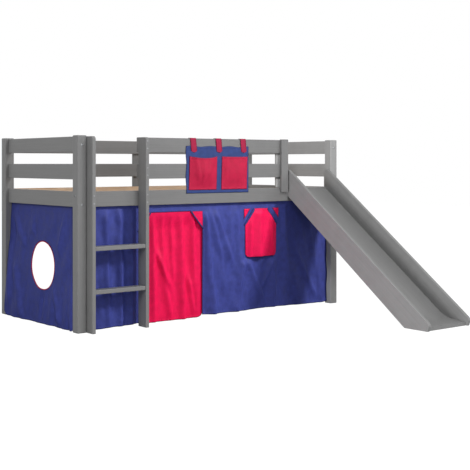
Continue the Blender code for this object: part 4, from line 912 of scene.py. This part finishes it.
def small_cloth(outline, name, spot, surface, body="bed", square=0.010):
    """A small cut of cloth with straight sides, laid on what carries it."""
    cut = bmesh.new()
    corners = [cut.verts.new((along, 0, level)) for along, level in outline]
    cut.faces.new(corners)
    low_x, high_x = (pick(first for first, _ in outline) for pick in (min, max))
    low_z, high_z = (pick(second for _, second in outline) for pick in (min, max))
    for low, high, axis in ((low_x, high_x, 0), (low_z, high_z, 2)):
        for step in range(1, int((high - low) / square) + 1):
            place = Vector((0, 0, 0))
            place[axis] = low + step * square
            normal = Vector((1, 0, 0)) if axis == 0 else Vector((0, 0, 1))
            bmesh.ops.bisect_plane(cut, geom=cut.verts[:] + cut.edges[:] + cut.faces[:], dist=1e-5,
                                   plane_co=place, plane_no=normal)
    return hang(cut, name, spot, surface, body, smooth=0)


def on_curtain(lift):
    """For cloth that lies on the front curtain, lifted off it to the front."""
    def spot(along, level):
        """Where a point of its cut lies."""
        return along, CURTAIN_PLANE - curtain_depth(along, level) - lift, level
    return spot


def mirrored(outline, middle, way):
    """An outline as it is, or for a `way` of -1 mirrored about an upright line."""
    return [(middle + way * (along - middle), level) for along, level in outline]


slant = math.hypot(*DOOR_CORNER)
across = TRIM_LAP * slant / DOOR_CORNER[1]
down = TRIM_LAP * slant / DOOR_CORNER[0]
trim = [(DOOR_RIGHT + TRIM_LAP, DOOR_TOP + TRIM_LAP),
        (DOOR_RIGHT - DOOR_CORNER[0] + across, DOOR_TOP + TRIM_LAP),
        (DOOR_RIGHT - DOOR_CORNER[0], DOOR_TOP), (DOOR_RIGHT, DOOR_TOP - DOOR_CORNER[1]),
        (DOOR_RIGHT + TRIM_LAP, DOOR_TOP - DOOR_CORNER[1] + down)]
out = Vector((DOOR_CORNER[1], 0, DOOR_CORNER[0])) / slant * RIBBON_WIDTH
high = Vector((DOOR_RIGHT - DOOR_CORNER[0], 0, DOOR_TOP))
low = Vector((DOOR_RIGHT, 0, DOOR_TOP - DOOR_CORNER[1]))
strip = [(point.x, point.z) for point in (high, low, low + out, high + out)]
door_middle = (DOOR_LEFT + DOOR_RIGHT) / 2
for side, way in (("right", 1), ("left", -1)):
    # the left one ends at the doorway's edge, where the ladder hides it
    outline = [(max(along, DOOR_LEFT + LEFT_TRIM_INSET), level)
               for along, level in mirrored(trim, door_middle, way)]
    patch = small_cloth(outline, "door_corner_" + side, on_curtain(CLOTH + LAID_GAP), RED)
    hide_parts("door_corner_trim_" + side)
    ribbon = small_cloth(mirrored(strip, door_middle, way), "door_ribbon_" + side,
                         on_curtain(2 * CLOTH + 2 * LAID_GAP), SHADED_NAVY)

# Window flap: a red sateen panel sewn by its top edge over the window, its upper corners cut
# aslant and edged with blue ribbon. Red triangles are sewn on the curtain beside the corners.
FLAP_CORNER = (0.078, 0.098)
FLAP_ROUND = 0.026
FLAP_SQUARE = 0.0085
FLAP_BOW, FLAP_OFF = 0.016, 0.00165
FLAP_LEFTWARD, FLAP_NARROWER, FLAP_NARROWS_FROM = 0.004, 0.009, 0.10
# the share of its height by which the flap hangs free of its seam
FLAP_HUNG_BY = 0.12
FLAP_FOLDS = (
    ((1.400, 0.670), (1.385, 0.380), (0.026, 0.050), 0.0200),
    ((1.322, 0.570), (1.310, 0.400), (0.010, 0.016), 0.0100),
    ((1.496, 0.600), (1.510, 0.420), (0.020, 0.010), 0.0110),
)
# the ribbons lie over both sides of the slant, run past its foot and end short of its head
RIBBON_OUT, RIBBON_IN = 0.004, 0.009
RIBBON_START, RIBBON_END = -0.10, 0.97
PATCH_WIDTH, PATCH_HEIGHT = 0.056, 0.070
SEWN_GAP = 0.0003
flap_plane = CURTAIN_PLANE - CLOTH / 2 - SEWN_GAP - CLOTH / 2


def flap_out(along, level):
    """The flap bows out between its two side hems and stands off a little at its foot."""
    drop = (WINDOW_TOP - level) / (WINDOW_TOP - WINDOW_FOOT)
    bow = np.sin(np.pi * (along - WINDOW_LEFT) / (WINDOW_RIGHT - WINDOW_LEFT)) * FLAP_BOW
    out = with_folds((bow + FLAP_OFF) * ease(drop, 0, 1), along, level, FLAP_FOLDS)
    return out * ease(drop, 0.0, FLAP_HUNG_BY)


def flap_narrowing(along, level):
    """The flap hangs a little to the left and is narrower at its foot."""
    drop = (WINDOW_TOP - level) / (WINDOW_TOP - WINDOW_FOOT)
    to_right = ease(along, WINDOW_LEFT + FLAP_NARROWS_FROM, WINDOW_RIGHT)
    return FLAP_LEFTWARD + FLAP_NARROWER * drop * to_right


def flap_spot(along, level):
    """Its upper corners are cut aslant and its lower ones rounded."""
    side = np.minimum(along - WINDOW_LEFT, WINDOW_RIGHT - along)
    high = WINDOW_TOP - FLAP_CORNER[1] * np.maximum(0, 1 - side / FLAP_CORNER[0])
    low = WINDOW_FOOT + rounded_hem(side, FLAP_ROUND)
    share = (level - WINDOW_FOOT) / (WINDOW_TOP - WINDOW_FOOT)
    level = low + (high - low) * share
    return along - flap_narrowing(along, level), flap_plane - flap_out(along, level), level


def on_flap(along, level):
    """For the ribbons, which lie on the front of the flap."""
    front = flap_plane - flap_out(along, level) - CLOTH - 2 * LAID_GAP
    return along - flap_narrowing(along, level), front, level


flap = hang(flat_cloth(WINDOW_LEFT, WINDOW_RIGHT, WINDOW_FOOT, WINDOW_TOP, FLAP_SQUARE),
            "window_flap_cloth", flap_spot, RED, "flap")
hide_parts("window_flap")
slant = Vector((FLAP_CORNER[0], 0, FLAP_CORNER[1]))
out = Vector((-FLAP_CORNER[1], 0, FLAP_CORNER[0])).normalized()
low = Vector((WINDOW_LEFT, 0, WINDOW_TOP - FLAP_CORNER[1])) + slant * RIBBON_START
high = Vector((WINDOW_LEFT, 0, WINDOW_TOP - FLAP_CORNER[1])) + slant * RIBBON_END
strip = [(point.x, point.z) for point in (low + out * RIBBON_OUT, low - out * RIBBON_IN,
                                          high - out * RIBBON_IN, high + out * RIBBON_OUT)]
window_middle = (WINDOW_LEFT + WINDOW_RIGHT) / 2
for side, way in (("left", 1), ("right", -1)):
    ribbon = small_cloth(mirrored(strip, window_middle, way), "flap_ribbon_" + side, on_flap,
                         BLUE, "flap")
patch_edge = WINDOW_LEFT - PATCH_OUT
triangle = [(patch_edge, WINDOW_TOP), (patch_edge, WINDOW_TOP - PATCH_HEIGHT),
            (patch_edge + PATCH_WIDTH, WINDOW_TOP)]
for side, way in (("left", 1), ("right", -1)):
    patch = small_cloth(mirrored(triangle, window_middle, way), "window_corner_" + side,
                        on_curtain(CLOTH + LAID_GAP), RED)
    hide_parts("window_patch_" + side)

# End curtain: blue cotton sateen across the left end, hung by hook tape, with a round peep hole
# bound in red. It flares out towards the floor and its lower corners are rounded.
END_START, END_END = 0.061, 0.929
END_FOOT = 0.002
END_SQUARE = 0.0125
END_FLARE_FRONT, END_FLARE_BACK = 0.030, 0.050
END_ROUND = 0.030
END_HUNG_BY = 0.200
END_WAVE, END_WAVE_PITCH = 0.0035, 0.290
END_OUT_MOST = 0.016
END_CREASES = ((0.07, 0.18), 0.012, 11.0)
# the gap between the posts, and how far from them the cloth begins to wave
GAP_START, GAP_END = 0.060, 0.930
GAP_CALM = 0.0725
HOLE_ALONG, HOLE_LEVEL, HOLE_RADIUS = 0.475, 0.355, 0.148
HOLE_CALM, KEPT_AT_HOLE = 0.09, 0.15
HOLE_MARGIN = 0.035
HOLE_RINGS = 4
HOLE_FORWARD, HOLE_PULL, HOLE_PULL_REACH = 0.009, 0.020, 0.24
END_FOLDS = (
    # two folds hang aslant from the rear upper corner, more stand along the lower hem
    ((0.905, 0.730), (0.800, 0.560), (0.018, 0.016), 0.0300),
    ((0.880, 0.660), (0.740, 0.500), (0.016, 0.018), 0.0200),
    ((0.900, 0.420), (0.880, 0.120), (0.020, 0.016), 0.0140),
    ((0.800, 0.300), (0.720, 0.040), (0.030, 0.018), 0.0240),
    ((0.480, 0.190), (0.500, 0.060), (0.012, 0.018), -0.0150),
    ((0.330, 0.200), (0.270, 0.060), (0.016, 0.026), 0.0160),
    ((0.100, 0.730), (0.096, 0.040), (0.018, 0.014), 0.0240),
    ((0.205, 0.730), (0.270, 0.480), (0.014, 0.020), 0.0180),
    ((0.640, 0.730), (0.600, 0.560), (0.016, 0.020), 0.0140),
)


def end_depth(along, level):
    """Distance of the end curtain from the bed's end."""
    share = (along - GAP_START) / (GAP_END - GAP_START)
    flare = END_FLARE_FRONT + (END_FLARE_BACK - END_FLARE_FRONT) * share * share
    drop = ease(CURTAIN_TOP - level, HEADING, CURTAIN_TOP)
    hung = ease(CURTAIN_TOP - level, HEADING, END_HUNG_BY)
    edge = np.minimum(1, np.minimum(along - GAP_START, GAP_END - along) / GAP_CALM)
    wave = np.sin(2 * np.pi * along / END_WAVE_PITCH) * END_WAVE
    out = with_folds(crumple(along, level, *END_CREASES), along, level, END_FOLDS)
    # the bound hole holds the cloth around it smooth
    from_hole = np.hypot(along - HOLE_ALONG, level - HOLE_LEVEL)
    away = ease(from_hole, HOLE_RADIUS, HOLE_RADIUS + HOLE_CALM)
    out = out * (KEPT_AT_HOLE + (1 - KEPT_AT_HOLE) * away)
    out = np.minimum(out, END_OUT_MOST)
    return CURTAIN_PLANE - flare * drop + wave * drop * edge - out * hung


def end_skew(along, level):
    """The cloth around the peep hole hangs askew, its lower part drawn to the front."""
    near = np.exp(-((along - HOLE_ALONG) / HOLE_PULL_REACH) ** 2)
    below = np.clip((HOLE_LEVEL - level) / HOLE_RADIUS, -0.8, 1.2)
    return near * (HOLE_FORWARD + HOLE_PULL * below)


def end_spot(along, level):
    """Where a point of the end curtain's cut hangs."""
    side = np.minimum(along - END_START, END_END - along)
    low = END_FOOT + rounded_hem(side, END_ROUND)
    level = low + (CURTAIN_TOP - low) * level / CURTAIN_TOP
    return end_depth(along, level), along - end_skew(along, level), level


end_cut = flat_cloth(END_START, END_END, 0, CURTAIN_TOP, END_SQUARE)
hole = Vector((HOLE_ALONG, 0, (HOLE_LEVEL - END_FOOT) * CURTAIN_TOP / (CURTAIN_TOP - END_FOOT)))
# a square of cloth a little wider than the hole is taken out
room = HOLE_RADIUS + HOLE_MARGIN
taken = [face for face in end_cut.faces
         if max(abs(face.calc_center_median().x - hole.x),
                abs(face.calc_center_median().z - hole.z)) < room]
bmesh.ops.delete(end_cut, geom=taken, context="FACES")
# the square's corners are 1.4 times as far out as its sides
edges = [edge for edge in end_cut.edges if edge.is_boundary
         and (edge.verts[0].co - hole).length < room * 1.6]
# rings of cloth grow inwards from the square until the last one is the round hole
for left in range(HOLE_RINGS, 0, -1):
    grown = bmesh.ops.extrude_edge_only(end_cut, edges=edges)["geom"]
    edges = [part for part in grown if isinstance(part, bmesh.types.BMEdge) and part.is_boundary]
    for vertex in {vertex for edge in edges for vertex in edge.verts}:
        rim = hole + (vertex.co - hole).normalized() * HOLE_RADIUS
        vertex.co += (rim - vertex.co) / left
end = hang(end_cut, "end_curtain_cloth", end_spot, BLUE)
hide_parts("end_curtain")

# Binding of the peep hole: red bias tape of plain cotton folded over the hole's edge and sewn
# down, which makes a dull, slightly thicker rim all round.
BINDING_RED = cotton("red bias tape", "#B8083C", "#C41046", "#A80434", "#B8083C", 0.0)
BINDING_WIDTH = 0.0060
BINDING_SIDES, BINDING_STEPS = 8, 96

binding = bmesh.new()
rim = Vector((HOLE_ALONG + HOLE_RADIUS - BINDING_WIDTH / 2, 0, HOLE_LEVEL))
bmesh.ops.create_circle(binding, radius=BINDING_WIDTH / 2, segments=BINDING_SIDES,
                        matrix=Matrix.Translation(rim))
bmesh.ops.spin(binding, geom=binding.edges[:] + binding.verts[:], angle=2 * math.pi,
               steps=BINDING_STEPS, use_merge=True, axis=(0, 1, 0),
               cent=(HOLE_ALONG, 0, HOLE_LEVEL))
along = np.array([vertex.co.x for vertex in binding.verts])
level = np.array([vertex.co.z for vertex in binding.verts])
places = zip(end_depth(along, level), along - end_skew(along, level), level)
for vertex, (depth, across, height) in zip(binding.verts, places):
    vertex.co = Vector((depth + vertex.co.y, across, height)) + bed_corner
weave = binding.loops.layers.uv.new("cut")
for face in binding.faces:
    for loop in face.loops:
        loop[weave].uv = (loop.vert.co.y, loop.vert.co.z)
bmesh.ops.recalc_face_normals(binding, faces=binding.faces)
piece = new_piece(binding, "peep_hole_tape", BINDING_RED)
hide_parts("peep_hole_binding")

# Pocket organizer: a panel of dark blue canvas that hangs before the guard rail and carries two
# pockets. Canvas is duller than the curtains' sateen, and its hems are sewn down the same way.
PANEL_BLUE = cotton("dark blue canvas", "#2A3A6C", "#324278", "#22305C", "#1E2850", 0.06)
ORGANIZER_LEFT, ORGANIZER_RIGHT = 0.7775, 1.2795
ORGANIZER_TOP, ORGANIZER_FOOT = 1.085, 0.789
BACKING_PLANE = 0.0182
BACKING_SQUARE = 0.010
BACKING_WAVE, BACKING_WAVE_PITCH = 0.0030, 0.155


def backing_spot(along, level):
    """The panel sags a little between its straps and its left side is wavy."""
    share_up = (level - ORGANIZER_FOOT) / (ORGANIZER_TOP - ORGANIZER_FOOT)
    share_along = (along - ORGANIZER_LEFT) / (ORGANIZER_RIGHT - ORGANIZER_LEFT)
    aside = BACKING_WAVE * np.sin(2 * np.pi * level / BACKING_WAVE_PITCH)
    moved = along + aside * (1 - share_along)
    dip = BACKING_WAVE * np.sin(2 * np.pi * moved / BACKING_WAVE_PITCH)
    return moved, BACKING_PLANE, level + dip * share_up


backing = hang(flat_cloth(ORGANIZER_LEFT, ORGANIZER_RIGHT, ORGANIZER_FOOT, ORGANIZER_TOP,
                          BACKING_SQUARE),
               "organizer_panel", backing_spot, PANEL_BLUE, "organizer")
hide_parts("organizer_backing")

# Organizer's straps: three strips of dull red canvas sewn on the panel's upper edge. They pass
# over the top guard rail and hang down behind it; in front they end in a blunt point.
STRAP_RED = cotton("red strap cloth", "#8E1438", "#981C40", "#801030", "#6A1034", 0.04, hem=0.005)
STRAP_COUNT = 3
STRAP_START, STRAP_PITCH = 0.0305, 0.2005
STRAP_WIDTH, STRAP_REACH, STRAP_BEHIND = 0.046, 0.092, 0.075
CANVAS = 0.0014
STRAP_SQUARE = 0.006
STRAP_POINT = 0.012
STRAP_LEAN = 0.009
STRAP_LIFT, STRAP_ARCH = 0.001, 0.0008
# the top guard rail's upper edge and its back
GUARD_TOP, GUARD_BACK = 1.134, 0.040
strap_plane = BACKING_PLANE - CLOTH / 2 - SEWN_GAP - CANVAS / 2
over = GUARD_BACK - strap_plane + SEWN_GAP + CANVAS / 2


def on_rail(start):
    """For a strap that starts at a place along the bed."""
    def spot(along, length):
        """Down the front to a blunt point, over the rail and down its back, by its length."""
        pointed = STRAP_POINT * np.abs(along / STRAP_WIDTH - 0.5) * 2
        length = np.maximum(length, pointed)
        front = np.clip(length, 0, STRAP_REACH)
        back = np.clip(length - STRAP_REACH - over, 0, STRAP_BEHIND)
        top = np.clip((length - STRAP_REACH) / over, 0, 1)
        level = GUARD_TOP + STRAP_LIFT + CANVAS / 2 - (STRAP_REACH - front) - back
        level = level + STRAP_ARCH * np.sin(np.pi * top)
        moved = start + along + STRAP_LEAN * (STRAP_REACH - front) / STRAP_REACH
        return moved, strap_plane + over * top, level
    return spot


for number in range(STRAP_COUNT):
    strap_cut = flat_cloth(0, STRAP_WIDTH, 0, STRAP_REACH + over + STRAP_BEHIND, STRAP_SQUARE)
    strap = hang(strap_cut, "organizer_strap_cloth_" + str(number + 1),
                 on_rail(ORGANIZER_LEFT + STRAP_START + number * STRAP_PITCH), STRAP_RED,
                 "organizer", thickness=CANVAS, smooth=0)
    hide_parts("organizer_strap_" + str(number + 1))

# Organizer's pockets: two patches of red canvas sewn on the panel along three sides, their mouths
# open at the top. They bulge out in the middle, and the left one's mouth sags.
POCKET_RED = cotton("red canvas", "#A61439", "#B01A40", "#961033", "#6A1034", 0.04, hem=0.010)
POCKET_TOP, POCKET_FOOT = 1.022, 0.810
POCKET_LEAN = 0.006
# the share of its height from which a pocket is as full as at its mouth
POCKET_FULL = 0.6
POCKET_SQUARE = 0.0085
pocket_plane = BACKING_PLANE - CLOTH / 2 - SEWN_GAP - CANVAS / 2
# each pocket: its sides, how far its mouth stands open and sags, and its folds
POCKETS = (("left", 0.803, 1.022, 0.022, 0.011,
            (((0.848, 1.010), (0.880, 0.860), (0.010, 0.018), 0.0050),
             ((0.973, 1.015), (0.946, 0.880), (0.018, 0.012), 0.0045),
             ((0.913, 0.930), (0.908, 0.825), (0.014, 0.014), 0.0035))),
           ("right", 1.059, 1.271, 0.012, 0.002,
            (((1.097, 1.010), (1.092, 0.840), (0.009, 0.016), 0.0045),
             ((1.217, 1.000), (1.202, 0.860), (0.016, 0.012), 0.0030))))


def on_panel(start, end, bulge, sag, folds):
    """For a pocket that is sewn on the organizer's panel."""
    def spot(along, level):
        """Where a point of its cut lies; its foot is a little further left than its mouth."""
        share = (along - start) / (end - start)
        up = (level - POCKET_FOOT) / (POCKET_TOP - POCKET_FOOT)
        high = POCKET_TOP - sag * np.sin(np.pi * share)
        level = POCKET_FOOT + (high - POCKET_FOOT) * up
        full = np.sin(np.pi * share) * ease(up, 0, POCKET_FULL)
        out = with_folds(bulge * full, along, level, folds, full)
        return along - POCKET_LEAN * (1 - up), pocket_plane - out, level
    return spot


for side, start, end, bulge, sag, folds in POCKETS:
    pocket = hang(flat_cloth(start, end, POCKET_FOOT, POCKET_TOP, POCKET_SQUARE), "pocket_" + side,
                  on_panel(start, end, bulge, sag, folds), POCKET_RED, "organizer",
                  thickness=CANVAS)
    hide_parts("organizer_pocket_" + side)
